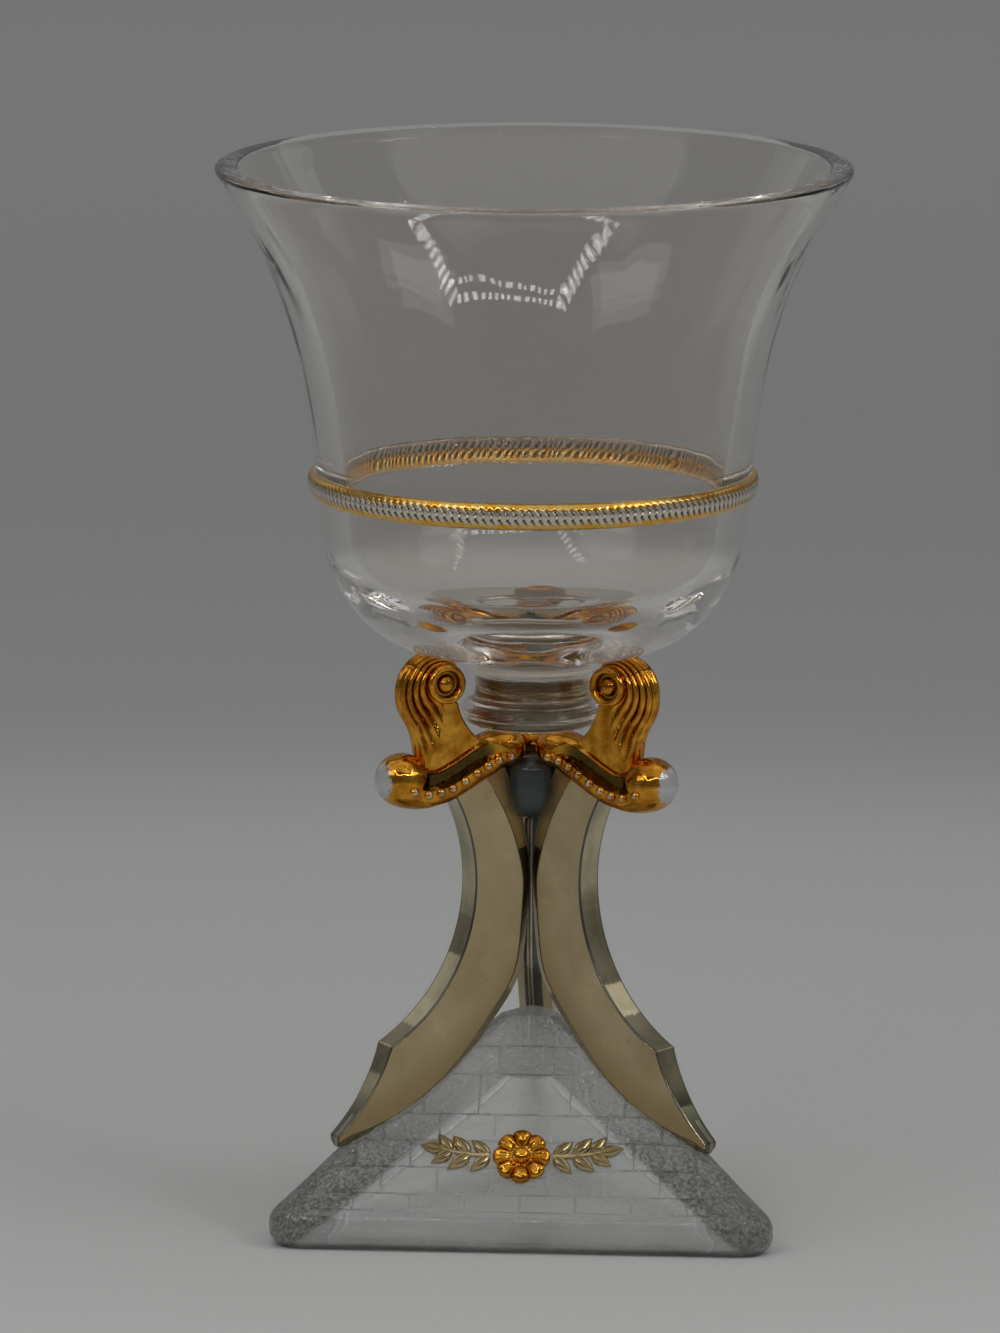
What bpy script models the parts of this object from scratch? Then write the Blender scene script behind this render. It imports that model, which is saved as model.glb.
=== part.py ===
"""Pressed-glass souvenir goblet on a stem of three sabres.

Metres, +Z up.  Z is the axis of the goblet and the foot stands on z = 0.
The decorated front face of the foot looks along -Y.
A sabre is drawn once in its own upright plane, as (reach from the axis, height),
and stands three times around the axis: front left, front right and rear.
"""
import math

import bmesh
import bpy
from mathutils import Vector

MM = 0.001
DEG = math.pi / 180

# Fit between two pieces that touch
SEAT_GAP = 0.3 * MM

# Foot: a hollow three-sided pyramid with a low upright edge
FOOT_APEX_HEIGHT = 28.8 * MM          # where the three faces would meet
FOOT_FACE_SLOPE = 52.9 * DEG
FOOT_SIDE = 18.9 * MM                 # axis to the flat of the upright edge
FOOT_CORNER_RADIUS = 3.5 * MM
FOOT_RIDGE_RADIUS = 1.2 * MM
FOOT_EDGE_ROUND = 1.3 * MM
FOOT_TOP_SIDE = 2.5 * MM              # axis to the side of the small flat top
FOOT_WALL = 5.5 * MM                  # square to a face
FOOT_HOLLOW_CORNER_RADIUS = 1.6 * MM
FOOT_HOLLOW_TOP_SIDE = 2.0 * MM

# Blade: an arc that stands on a ridge of the foot
BLADE_SPINE_ARC = 21.9 * MM           # radius of the hollow back of the blade
BLADE_WIDTH = 7.5 * MM
BLADE_THICKNESS = 4.0 * MM
BLADE_EDGE_THICKNESS = 1.9 * MM
BLADE_BEVEL = 1.3 * MM
BLADE_TOP_ANGLE = 32.0 * DEG          # of the arc, above the level of its centre
BLADE_CLIP_ANGLE = 60.0 * DEG         # below it, where the back is clipped
BLADE_TIP_REACH = 25.6 * MM           # axis to the tip
BLADE_FLARE_ANGLE = 17.0 * DEG        # below it, where the blade starts to widen
BLADE_TIP_FLARE = 1.8 * MM            # extra width at the tip
BLADE_TIP_WIDTH = 1.4 * MM
BLADE_TIP_THICKNESS = 2.4 * MM
BLADE_SEAT_DEPTH = 0.6 * MM           # of the tip in the ridge

# Guard: a bent bar with a ball at its outer end
GUARD_HALF_HEIGHT = 2.4 * MM
GUARD_HALF_WIDTH = 2.8 * MM
GUARD_BALL_RADIUS = 3.2 * MM
GUARD_BALL_REACH = 17.1 * MM
GUARD_INNER_RISE = 2.0 * MM           # inner end above the end of the blade
GUARD_BALL_DROP = 0.9 * MM            # ball below the end of the blade
GUARD_BEND = 5.0 * MM                 # length of the curve's handles
GUARD_SAG = 3.2 * MM                  # of the outer handle, below the ball
GUARD_SWELL_SHARE = 0.72              # of its length, where it starts to swell into the ball

# Grip: a fluted horn that curls round an eye, with a flat web behind it
EYE_REACH = 12.4 * MM
EYE_RISE = 10.6 * MM                  # above the end of the blade
EYE_RADIUS = 2.4 * MM
EYE_HALF_WIDTH = 2.6 * MM
EYE_RING_RADIUS = 2.0 * MM
EYE_GROOVE_RADIUS = 1.55 * MM
BUTTON_RADIUS = 1.1 * MM
BUTTON_HEIGHT = 0.5 * MM
HORN_TIP_RADIUS = 2.9 * MM            # about the eye, on the side of the axis
HORN_SIDE_RADIUS = 4.8 * MM           # about the eye, on the outer side
HORN_HALF_WIDTH = 2.4 * MM
HORN_EDGE_HALF_WIDTH = 1.3 * MM
HORN_BASE_WIDTH = 2.4 * MM
HORN_BASE_SHARE = 0.7                 # of the guard's length, where the horn grows out of it
FLUTE_DEPTH = 0.5 * MM
FLUTE_COUNT = 4
WEB_REACH = 10.0 * MM
WEB_HALF_WIDTH = 1.7 * MM

# Knop: a plug between the blades, under the guards
KNOP_HEIGHT = 6.2 * MM
KNOP_RADIUS = 4.4 * MM
KNOP_FOOT_RADIUS = 1.3 * MM

# Merese: the collar between the sabres and the bowl
MERESE_HEIGHT = 6.2 * MM
MERESE_RADIUS = 8.6 * MM
MERESE_DISC_HEIGHT = 2.6 * MM
MERESE_WAIST_RADIUS = 5.7 * MM
MERESE_TOP_RADIUS = 6.4 * MM

# Bowl: a bell with a thick wall; heights are above its seat on the merese
BOWL_HEIGHT = 60.1 * MM
BOWL_SEAT_RADIUS = 6.5 * MM
BOWL_FUNNEL_RADIUS = 13.5 * MM
BOWL_FUNNEL_RISE = 2.5 * MM
BOWL_BELLY_RADIUS = 25.1 * MM
BOWL_BELLY_RISE = 16.9 * MM
BOWL_RIM_RADIUS = 37.7 * MM
BOWL_RIM_FLARE = 28.7 * DEG           # of the wall at the rim, from upright
BOWL_BELLY_FLARE = 5.0 * DEG          # of the wall at the belly
BOWL_SHOULDER_SLOPE = 12.0 * DEG      # of the underside at the funnel, from level
BOWL_WALL = 3.3 * MM
BOWL_LIP = 2.9 * MM                   # thickness of the rounded lip
BOWL_FLOOR = 6.6 * MM                 # glass under the middle of the inside
# Lengths of the handles that bend the bowl's curves
BOWL_SHOULDER_HANDLE = 8.7 * MM
BOWL_BELLY_HANDLE = 4.0 * MM
BOWL_FLARE_HANDLE = 29.0 * MM
BOWL_RIM_HANDLE = 12.6 * MM
BOWL_INSIDE_HANDLE = 6.7 * MM
BOWL_FLOOR_HANDLE = 16.3 * MM

# Band: a raised bead round the bowl
BAND_RISE = 22.4 * MM
BAND_HEIGHT = 3.2 * MM
BAND_DEPTH = 0.8 * MM
BAND_EDGE = 0.15 * MM

# Ornament on the front face of the foot
ORNAMENT_HEIGHT = 10.6 * MM           # of its middle, above the floor
ROSETTE_RADIUS = 3.2 * MM
ROSETTE_DEPTH = 1.4 * MM
ROSETTE_PETALS = 8
ROSETTE_WAVE = 0.12                   # depth of the scallops, as a share of the radius
# Steps of the rosette from its rim to its boss, as shares of its radius and depth
ROSETTE_RIM = ((1.0, 0.0), (1.0, 0.35), (0.8, 0.55))
ROSETTE_BOSS = ((0.42, 0.35), (0.36, 0.8), (0.18, 1.0))
SPRAY_LENGTH = 8.6 * MM
SPRAY_LEAF_WIDTH = 3.0 * MM
SPRAY_STEM_WIDTH = 0.7 * MM
SPRAY_DEPTH = 0.9 * MM
SPRAY_RISE = 1.6 * MM
SPRAY_LEAVES = 3
SPRAY_TAPER = 0.35                    # how much narrower the last leaf is
SPRAY_CREST = 0.35                    # width of a leaf's crest, as a share of the leaf

# Fineness of the round forms
TURN_STEPS = 60
SMALL_TURN_STEPS = 36
ARC_STEPS = 16

SABRE_DIRECTIONS = {"front_left": 210 * DEG, "front_right": 330 * DEG, "rear": 90 * DEG}


# Plane geometry

def mix(a, b, t):
    return a + (b - a) * t


def ease(t):
    """Smooth step from 0 to 1."""
    t = min(max(t, 0.0), 1.0)
    return t * t * (3 - 2 * t)


def bezier(p0, p1, p2, p3, steps):
    """Points of a cubic curve, both ends included."""
    points = []
    for k in range(steps + 1):
        t = k / steps
        u = 1 - t
        weights = (u * u * u, 3 * u * u * t, 3 * u * t * t, t * t * t)
        points.append(sum((w * Vector(p) for w, p in zip(weights, (p0, p1, p2, p3))), Vector((0, 0))))
    return points


def arc(center, radius, start, end, steps):
    """Points of a circular arc, both ends included."""
    angles = [mix(start, end, k / steps) for k in range(steps + 1)]
    return [Vector(center) + radius * Vector((math.cos(a), math.sin(a))) for a in angles]


def grown(path, distance):
    """The path moved to the right of its own direction."""
    moved = []
    for k, point in enumerate(path):
        along = (path[min(k + 1, len(path) - 1)] - path[max(k - 1, 0)]).normalized()
        moved.append(point + distance * Vector((along.y, -along.x)))
    return moved


# Making objects

def coat(name, color, roughness, metallic=0.0, transmission=0.0):
    material = bpy.data.materials.new(name)
    material.use_nodes = True
    shader = material.node_tree.nodes["Principled BSDF"]
    shader.inputs["Base Color"].default_value = (*color, 1.0)
    shader.inputs["Roughness"].default_value = roughness
    shader.inputs["Metallic"].default_value = metallic
    shader.inputs["Transmission Weight"].default_value = transmission
    return material


def finish(bm, name):
    """Turn a bmesh into a mesh that faces out, with smooth round forms."""
    bmesh.ops.remove_doubles(bm, verts=bm.verts, dist=1e-7)
    bmesh.ops.recalc_face_normals(bm, faces=bm.faces)
    mesh = bpy.data.meshes.new(name)
    bm.to_mesh(mesh)
    bm.free()
    mesh.shade_smooth()
    mesh.set_sharp_from_angle(angle=35 * DEG)
    return mesh


def turned(name, profile, steps=TURN_STEPS):
    """Turn a closed (radius, height) outline about Z; ends on the axis stay open."""
    bm = bmesh.new()
    verts = [bm.verts.new((p[0], 0, p[1])) for p in profile]
    edges = [bm.edges.new(pair) for pair in zip(verts, verts[1:])]
    if profile[0][0] > 0 or profile[-1][0] > 0:
        edges.append(bm.edges.new((verts[-1], verts[0])))
    bmesh.ops.spin(bm, geom=verts + edges, cent=(0, 0, 0), axis=(0, 0, 1),
                   angle=2 * math.pi, steps=steps, use_merge=True)
    return finish(bm, name)


def lofted(name, rings):
    """Skin rings of the same number of points and cap both ends."""
    bm = bmesh.new()
    rows = [[bm.verts.new(point) for point in ring] for ring in rings]
    count = len(rows[0])
    for low, high in zip(rows, rows[1:]):
        for k in range(count):
            j = (k + 1) % count
            bm.faces.new((low[k], low[j], high[j], high[k]))
    bm.faces.new(reversed(rows[0]))
    bm.faces.new(rows[-1])
    return finish(bm, name)


def place(name, mesh, material=None, parent=None):
    piece = bpy.data.objects.new(name, mesh)
    bpy.context.collection.objects.link(piece)
    piece.parent = parent
    if material:
        mesh.materials.clear()
        mesh.materials.append(material)
    return piece


def cutter(name, mesh, parent=None):
    """A helper solid that only shapes other pieces."""
    piece = place(name, mesh, parent=parent)
    piece.hide_render = True
    piece.display_type = "WIRE"
    return piece


def combine(piece, tools, operation):
    for tool in tools:
        step = piece.modifiers.new(tool.name, "BOOLEAN")
        step.operation = operation
        step.solver = "EXACT"
        step.object = tool


def settled_mesh(piece):
    """The mesh of a piece after its modifiers, for the copies that share it."""
    bpy.context.view_layer.update()
    graph = bpy.context.evaluated_depsgraph_get()
    mesh = bpy.data.meshes.new_from_object(piece.evaluated_get(graph))
    mesh.name = piece.name
    return mesh


# Foot

def face_side(height):
    """Axis to a face of the foot at a height."""
    return (FOOT_APEX_HEIGHT - height) / math.tan(FOOT_FACE_SLOPE)


def face_height(side):
    return FOOT_APEX_HEIGHT - side * math.tan(FOOT_FACE_SLOPE)


def ridge_height(reach):
    """Height of a sharp ridge of the foot; a corner is twice as far out as a side."""
    return face_height(reach / 2)


def triangle_ring(side, corner, height, steps=4):
    """Level three-sided outline with round corners under the three sabres."""
    corner = min(corner, 0.6 * side)
    ring = []
    for direction in (90 * DEG, 210 * DEG, 330 * DEG):
        center = 2 * (side - corner) * Vector((math.cos(direction), math.sin(direction)))
        for p in arc(center, corner, direction - 60 * DEG, direction + 60 * DEG, steps):
            ring.append((p.x, p.y, height))
    return ring


def foot_mesh():
    rings = []
    for k in range(4):
        turn = 30 * DEG * k
        inset = FOOT_EDGE_ROUND * (1 - math.sin(turn))
        height = FOOT_EDGE_ROUND * (1 - math.cos(turn))
        rings.append(triangle_ring(FOOT_SIDE - inset, FOOT_CORNER_RADIUS - inset, height))
    steps = 7
    for k in range(steps + 1):
        side = mix(FOOT_SIDE, FOOT_TOP_SIDE, k / steps)
        corner = mix(FOOT_CORNER_RADIUS, FOOT_RIDGE_RADIUS, ease(2 * k / steps))
        rings.append(triangle_ring(side, corner, face_height(side)))
    return lofted("foot", rings)


def foot_hollow_mesh():
    thickness = FOOT_WALL / math.sin(FOOT_FACE_SLOPE)
    top_height = face_height(FOOT_HOLLOW_TOP_SIDE + thickness)
    rings = []
    for height in (-FOOT_EDGE_ROUND, 0.0, 0.5 * top_height, top_height):
        rings.append(triangle_ring(face_side(height) - thickness, FOOT_HOLLOW_CORNER_RADIUS, height))
    return lofted("foot_hollow", rings)


# Sabre, in its own plane

BLADE_EDGE_ARC = BLADE_SPINE_ARC + BLADE_WIDTH
BLADE_TIP_ARC = BLADE_EDGE_ARC + BLADE_TIP_FLARE
# The three cutting edges meet round the axis without touching
WAIST_REACH = (BLADE_EDGE_THICKNESS / 2 * math.cos(60 * DEG) + SEAT_GAP / 2) / math.sin(60 * DEG)
ARC_REACH = BLADE_EDGE_ARC + WAIST_REACH
TIP_TURN = math.acos((ARC_REACH - BLADE_TIP_REACH) / BLADE_TIP_ARC)
# The tip sits in the ridge, and that sets how high the sabre stands
ARC_HEIGHT = ridge_height(BLADE_TIP_REACH) - BLADE_SEAT_DEPTH + BLADE_TIP_ARC * math.sin(TIP_TURN)
BLADE_MIDDLE_ARC = BLADE_SPINE_ARC + BLADE_WIDTH / 2
BLADE_END = Vector((ARC_REACH - BLADE_MIDDLE_ARC * math.cos(BLADE_TOP_ANGLE),
                    ARC_HEIGHT + BLADE_MIDDLE_ARC * math.sin(BLADE_TOP_ANGLE)))


def blade_ring(turn, grow):
    """Six-sided section of the blade at a turn of its arc, above (+) or below (-) the level."""
    clip = min(max((-turn - BLADE_CLIP_ANGLE) / (TIP_TURN - BLADE_CLIP_ANGLE), 0.0), 1.0)
    flare = ease((-turn - BLADE_FLARE_ANGLE) / (TIP_TURN - BLADE_FLARE_ANGLE))
    edge = mix(BLADE_EDGE_ARC, BLADE_TIP_ARC, flare)
    spine = mix(BLADE_SPINE_ARC, BLADE_TIP_ARC - BLADE_TIP_WIDTH, clip)
    half = mix(BLADE_THICKNESS, BLADE_TIP_THICKNESS, clip) / 2
    half_edge = min(BLADE_EDGE_THICKNESS / 2, half)
    bevel = min(BLADE_BEVEL, 0.5 * (edge - spine))
    corners = [(spine - grow, -half - grow), (edge - bevel, -half - grow),
               (edge + grow, -half_edge - grow), (edge + grow, half_edge + grow),
               (edge - bevel, half + grow), (spine - grow, half + grow)]
    ring = []
    for radius, across in corners:
        ring.append((ARC_REACH - radius * math.cos(turn), across, ARC_HEIGHT + radius * math.sin(turn)))
    return ring


def blade_mesh(grow=0.0):
    extra = grow / BLADE_MIDDLE_ARC
    first, last = BLADE_TOP_ANGLE + extra, -TIP_TURN - extra
    turns = [mix(first, -BLADE_CLIP_ANGLE, k / ARC_STEPS) for k in range(ARC_STEPS)]
    turns += [mix(-BLADE_CLIP_ANGLE, last, k / 5) for k in range(6)]
    return lofted("blade", [blade_ring(turn, grow) for turn in turns])


# The inner ends of the three guards meet round the axis in the same way as the edges
GUARD_INNER = Vector(((GUARD_HALF_WIDTH + SEAT_GAP) / math.sin(60 * DEG), BLADE_END.y + GUARD_INNER_RISE))
GUARD_BALL = Vector((GUARD_BALL_REACH, BLADE_END.y - GUARD_BALL_DROP))
GUARD_PATH = bezier(GUARD_INNER, GUARD_INNER + Vector((GUARD_BEND, 0)),
                    GUARD_BALL - Vector((GUARD_BEND, GUARD_SAG)), GUARD_BALL, ARC_STEPS)


def bar_ring(center, along, half_height, half_width, points=14):
    """Elliptical section of a bar that runs along a direction of the sabre's plane."""
    up = Vector((-along.y, along.x))
    ring = []
    for k in range(points):
        turn = 2 * math.pi * k / points
        p = center + half_height * math.sin(turn) * up
        ring.append((p.x, half_width * math.cos(turn), p.y))
    return ring


def guard_mesh(grow=0.0):
    start = (GUARD_PATH[1] - GUARD_PATH[0]).normalized()
    stop = (GUARD_PATH[-1] - GUARD_PATH[-2]).normalized()
    height, width, ball = GUARD_HALF_HEIGHT + grow, GUARD_HALF_WIDTH + grow, GUARD_BALL_RADIUS + grow
    rings = []
    for bow in (75, 50, 25):
        shrink, back = math.cos(bow * DEG), math.sin(bow * DEG)
        rings.append(bar_ring(GUARD_INNER - back * height * start, start, shrink * height, shrink * width))
    for k, center in enumerate(GUARD_PATH):
        along = (GUARD_PATH[min(k + 1, ARC_STEPS)] - GUARD_PATH[max(k - 1, 0)]).normalized()
        swell = ease((k / ARC_STEPS - GUARD_SWELL_SHARE) / (1 - GUARD_SWELL_SHARE))
        rings.append(bar_ring(center, along, mix(height, ball, swell), mix(width, ball, swell)))
    for bow in (25, 50, 75):
        shrink, ahead = math.cos(bow * DEG), math.sin(bow * DEG)
        rings.append(bar_ring(GUARD_BALL + ahead * ball * stop, stop, shrink * ball, shrink * ball))
    return lofted("guard", rings)


EYE = Vector((EYE_REACH, BLADE_END.y + EYE_RISE))
HORN_END = 175 * DEG
HORN_LEAVE = -50 * DEG
HORN_GROWTH = math.log(HORN_SIDE_RADIUS / HORN_TIP_RADIUS) / HORN_END
HORN_BASE = GUARD_PATH[round(HORN_BASE_SHARE * ARC_STEPS)] + Vector((0, 0.4 * GUARD_HALF_HEIGHT))


def horn_ring(inner, outer):
    """Fluted section of the horn between a point on its inner and one on its outer edge."""
    marks = 2 * FLUTE_COUNT
    front, back = [], []
    for k in range(marks + 1):
        p = inner.lerp(outer, k / marks)
        half = HORN_HALF_WIDTH if k % 2 else HORN_HALF_WIDTH - FLUTE_DEPTH
        if k in (0, marks):
            half = HORN_EDGE_HALF_WIDTH
        front.append((p.x, -half, p.y))
        back.append((p.x, half, p.y))
    return front + back[::-1]


def horn_mesh():
    inner_edge, outer_edge = [], []
    steps = 13
    for k in range(steps + 1):
        turn = mix(HORN_LEAVE, HORN_END, k / steps)
        ray = Vector((math.cos(turn), math.sin(turn)))
        inner_edge.append(EYE + EYE_GROOVE_RADIUS * ray)
        outer_edge.append(EYE + HORN_TIP_RADIUS * math.exp(HORN_GROWTH * (HORN_END - turn)) * ray)
    half_base = Vector((HORN_BASE_WIDTH / 2, 0))
    base = [(HORN_BASE - half_base, HORN_BASE + half_base)]
    base += [(mix(base[0][0], inner_edge[0], 0.5), mix(base[0][1], outer_edge[0], 0.55))]
    rings = [horn_ring(a, b) for a, b in base + list(zip(inner_edge, outer_edge))]
    return lofted("horn", rings)


def eye_mesh():
    """Disc with a ring and a button on both sides, turned about the line across the sabre."""
    low, top = EYE_HALF_WIDTH - BUTTON_HEIGHT, EYE_HALF_WIDTH + BUTTON_HEIGHT
    half = [(EYE_RADIUS, low), (EYE_RING_RADIUS, EYE_HALF_WIDTH), (EYE_GROOVE_RADIUS, low),
            (BUTTON_RADIUS, low), (BUTTON_RADIUS, EYE_HALF_WIDTH), (0.0, top)]
    profile = [(r, -h) for r, h in reversed(half)] + half
    mesh = turned("eye", profile, 18)
    for vert in mesh.vertices:
        x, y, z = vert.co
        vert.co = (EYE.x + x, z, EYE.y + y)
    mesh.flip_normals()
    return mesh


def web_mesh():
    """Flat plate between the guard, the horn and the eye."""
    outline = [Vector((WEB_REACH, BLADE_END.y)), Vector((HORN_BASE.x, BLADE_END.y)),
               Vector((EYE.x + 0.5 * EYE_RADIUS, EYE.y - EYE_RADIUS)), Vector((EYE.x, EYE.y)),
               Vector((EYE.x - 0.4 * EYE_RADIUS, EYE.y - 0.8 * EYE_RADIUS)),
               Vector((WEB_REACH, EYE.y - 2 * EYE_RADIUS))]
    rings = [[(p.x, across, p.y) for p in outline] for across in (-WEB_HALF_WIDTH, WEB_HALF_WIDTH)]
    return lofted("web", rings)


# Turned pieces; each stands on the one below it

KNOP_TOP = GUARD_INNER.y - GUARD_HALF_HEIGHT - SEAT_GAP
MERESE_BOTTOM = GUARD_INNER.y + GUARD_HALF_HEIGHT + SEAT_GAP
BOWL_SEAT = MERESE_BOTTOM + MERESE_HEIGHT + SEAT_GAP


def knop_mesh():
    bottom = KNOP_TOP - KNOP_HEIGHT
    middle = KNOP_TOP - KNOP_HEIGHT / 2
    side = bezier((KNOP_FOOT_RADIUS, bottom), (KNOP_FOOT_RADIUS, middle), (KNOP_RADIUS, middle),
                  (KNOP_RADIUS, KNOP_TOP), 8)
    profile = [(0, bottom)] + [tuple(p) for p in side] + [(0, KNOP_TOP)]
    return turned("knop", profile, SMALL_TURN_STEPS)


def merese_profile(grow=0.0):
    top = MERESE_BOTTOM + MERESE_HEIGHT
    disc_top = MERESE_BOTTOM + MERESE_DISC_HEIGHT
    half = MERESE_DISC_HEIGHT / 2
    disc = arc((MERESE_RADIUS - half, MERESE_BOTTOM + half), half, -90 * DEG, 60 * DEG, 6)
    neck = bezier(disc[-1], (MERESE_WAIST_RADIUS, disc_top), (MERESE_WAIST_RADIUS, (disc_top + top) / 2),
                  (MERESE_TOP_RADIUS, top), 8)
    path = grown(disc + neck[1:], grow)
    return [(0, MERESE_BOTTOM - grow)] + [tuple(p) for p in path] + [(0, top)]


def leaning(angle):
    """Direction that leans out from upright by an angle, as (radius, height)."""
    return Vector((math.sin(angle), math.cos(angle)))


def lip_center():
    return Vector((BOWL_RIM_RADIUS - BOWL_LIP / 2, BOWL_SEAT + BOWL_HEIGHT - BOWL_LIP / 2))


def wall_curve(belly, rim):
    """The flared wall from the belly to the rim; inside and outside bend alike."""
    return bezier(belly, belly + BOWL_FLARE_HANDLE * leaning(BOWL_BELLY_FLARE),
                  rim - BOWL_RIM_HANDLE * leaning(BOWL_RIM_FLARE), rim, 9)


def bowl_outer_path():
    """From the seat up the outside to the start of the lip, as (radius, height)."""
    seat = Vector((BOWL_SEAT_RADIUS, BOWL_SEAT))
    funnel = Vector((BOWL_FUNNEL_RADIUS, BOWL_SEAT + BOWL_FUNNEL_RISE))
    belly = Vector((BOWL_BELLY_RADIUS, BOWL_SEAT + BOWL_BELLY_RISE))
    shoulder = bezier(funnel, funnel + BOWL_SHOULDER_HANDLE * leaning(90 * DEG - BOWL_SHOULDER_SLOPE),
                      belly - BOWL_BELLY_HANDLE * leaning(BOWL_BELLY_FLARE), belly, 7)
    rim = lip_center() - BOWL_LIP / 2 * leaning(BOWL_RIM_FLARE - 90 * DEG)
    return [seat] + shoulder + wall_curve(belly, rim)[1:]


def bowl_inner_path():
    """From the lip down the inside to the middle of the floor."""
    floor = Vector((0, BOWL_SEAT + BOWL_FLOOR))
    belly = Vector((BOWL_BELLY_RADIUS - BOWL_WALL, BOWL_SEAT + BOWL_BELLY_RISE))
    rim = lip_center() + BOWL_LIP / 2 * leaning(BOWL_RIM_FLARE - 90 * DEG)
    bottom = bezier(belly, belly - BOWL_INSIDE_HANDLE * leaning(BOWL_BELLY_FLARE),
                    floor + Vector((BOWL_FLOOR_HANDLE, 0)), floor, 7)
    return wall_curve(belly, rim)[::-1] + bottom[1:]


def bowl_mesh():
    flare = BOWL_RIM_FLARE
    lip = arc(lip_center(), BOWL_LIP / 2, -flare, 180 * DEG - flare, 6)
    outline = [Vector((0, BOWL_SEAT))] + bowl_outer_path() + lip[1:-1] + bowl_inner_path()
    return turned("bowl", [tuple(p) for p in outline])


def bowl_underside_mesh():
    """The lower outside of the bowl with its fit, to trim the grips under it."""
    path = [p for p in bowl_outer_path() if p.y <= BOWL_SEAT + BOWL_BELLY_RISE]
    path = grown(path, SEAT_GAP)
    outline = [(0, BOWL_SEAT - SEAT_GAP)] + [tuple(p) for p in path] + [(0, path[-1].y)]
    return turned("bowl_underside", outline)


def bowl_radius(height):
    """Outer radius of the bowl at a height above its belly."""
    path = bowl_outer_path()
    for low, high in zip(path, path[1:]):
        if low.y <= height <= high.y:
            return mix(low.x, high.x, (height - low.y) / (high.y - low.y))
    return path[-1].x


def band_mesh():
    middle = BOWL_SEAT + BAND_RISE
    inner, outer = [], []
    steps = 6
    for k in range(steps + 1):
        height = middle + BAND_HEIGHT * (k / steps - 0.5)
        wall = bowl_radius(height) + SEAT_GAP
        inner.append((wall, height))
        bulge = math.sqrt(1 - (2 * k / steps - 1) ** 2)
        outer.append((wall + BAND_EDGE + BAND_DEPTH * bulge, height))
    return turned("band", outer + inner[::-1])


# Ornament, flat on a face and then laid on the front of the foot

def rosette_mesh():
    points = 5 * ROSETTE_PETALS
    rings = []
    for size, height in ROSETTE_RIM + ROSETTE_BOSS:
        wave = ROSETTE_WAVE if (size, height) in ROSETTE_RIM else 0.0
        ring = []
        for k in range(points):
            turn = 2 * math.pi * k / points
            radius = ROSETTE_RADIUS * size * (1 + wave * math.cos(ROSETTE_PETALS * turn))
            ring.append((radius * math.cos(turn), radius * math.sin(turn), ROSETTE_DEPTH * height))
        rings.append(ring)
    return lofted("rosette", rings)


def spray_mesh(side):
    """A chain of leaves that runs out from the rosette to one side (-1 or 1)."""
    start = ROSETTE_RADIUS * (1 + ROSETTE_WAVE) + SEAT_GAP
    steps = 8 * SPRAY_LEAVES
    rings = []
    for width, height in ((1, 0), (1, SPRAY_DEPTH / 2), (SPRAY_CREST, SPRAY_DEPTH)):
        upper, lower = [], []
        for k in range(1, steps):
            t = k / steps
            leaf = (1 - SPRAY_TAPER * t) * abs(math.sin(math.pi * SPRAY_LEAVES * t))
            half = width * (SPRAY_STEM_WIDTH + SPRAY_LEAF_WIDTH * leaf) / 2
            x, y = start + SPRAY_LENGTH * t, SPRAY_RISE * t * t
            upper.append((side * x, y + half, height))
            lower.append((side * x, y - half, height))
        rings.append(upper + lower[::-1])
    return lofted("spray", rings)


# Assembly

def sabre_meshes():
    """Blade, guard and grip of one sabre, fitted to each other, and the guard's fit."""
    blade_room = cutter("blade_room", blade_mesh(SEAT_GAP))
    guard_room = cutter("guard_room", guard_mesh(SEAT_GAP))
    merese_room = cutter("merese_room", turned("merese_room", merese_profile(SEAT_GAP), SMALL_TURN_STEPS))
    bowl_room = cutter("bowl_room", bowl_underside_mesh())
    eye = cutter("eye", eye_mesh())
    web = cutter("web", web_mesh())
    guard = cutter("guard", guard_mesh())
    combine(guard, [blade_room], "DIFFERENCE")
    grip = cutter("grip", horn_mesh())
    combine(grip, [eye, web], "UNION")
    combine(grip, [guard_room, bowl_room, merese_room], "DIFFERENCE")
    meshes = {"blade": blade_mesh(), "guard": settled_mesh(guard), "grip": settled_mesh(grip)}
    for helper in (eye, web, guard, grip, merese_room, bowl_room, guard_room, blade_room):
        bpy.data.objects.remove(helper)
    return meshes


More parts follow.
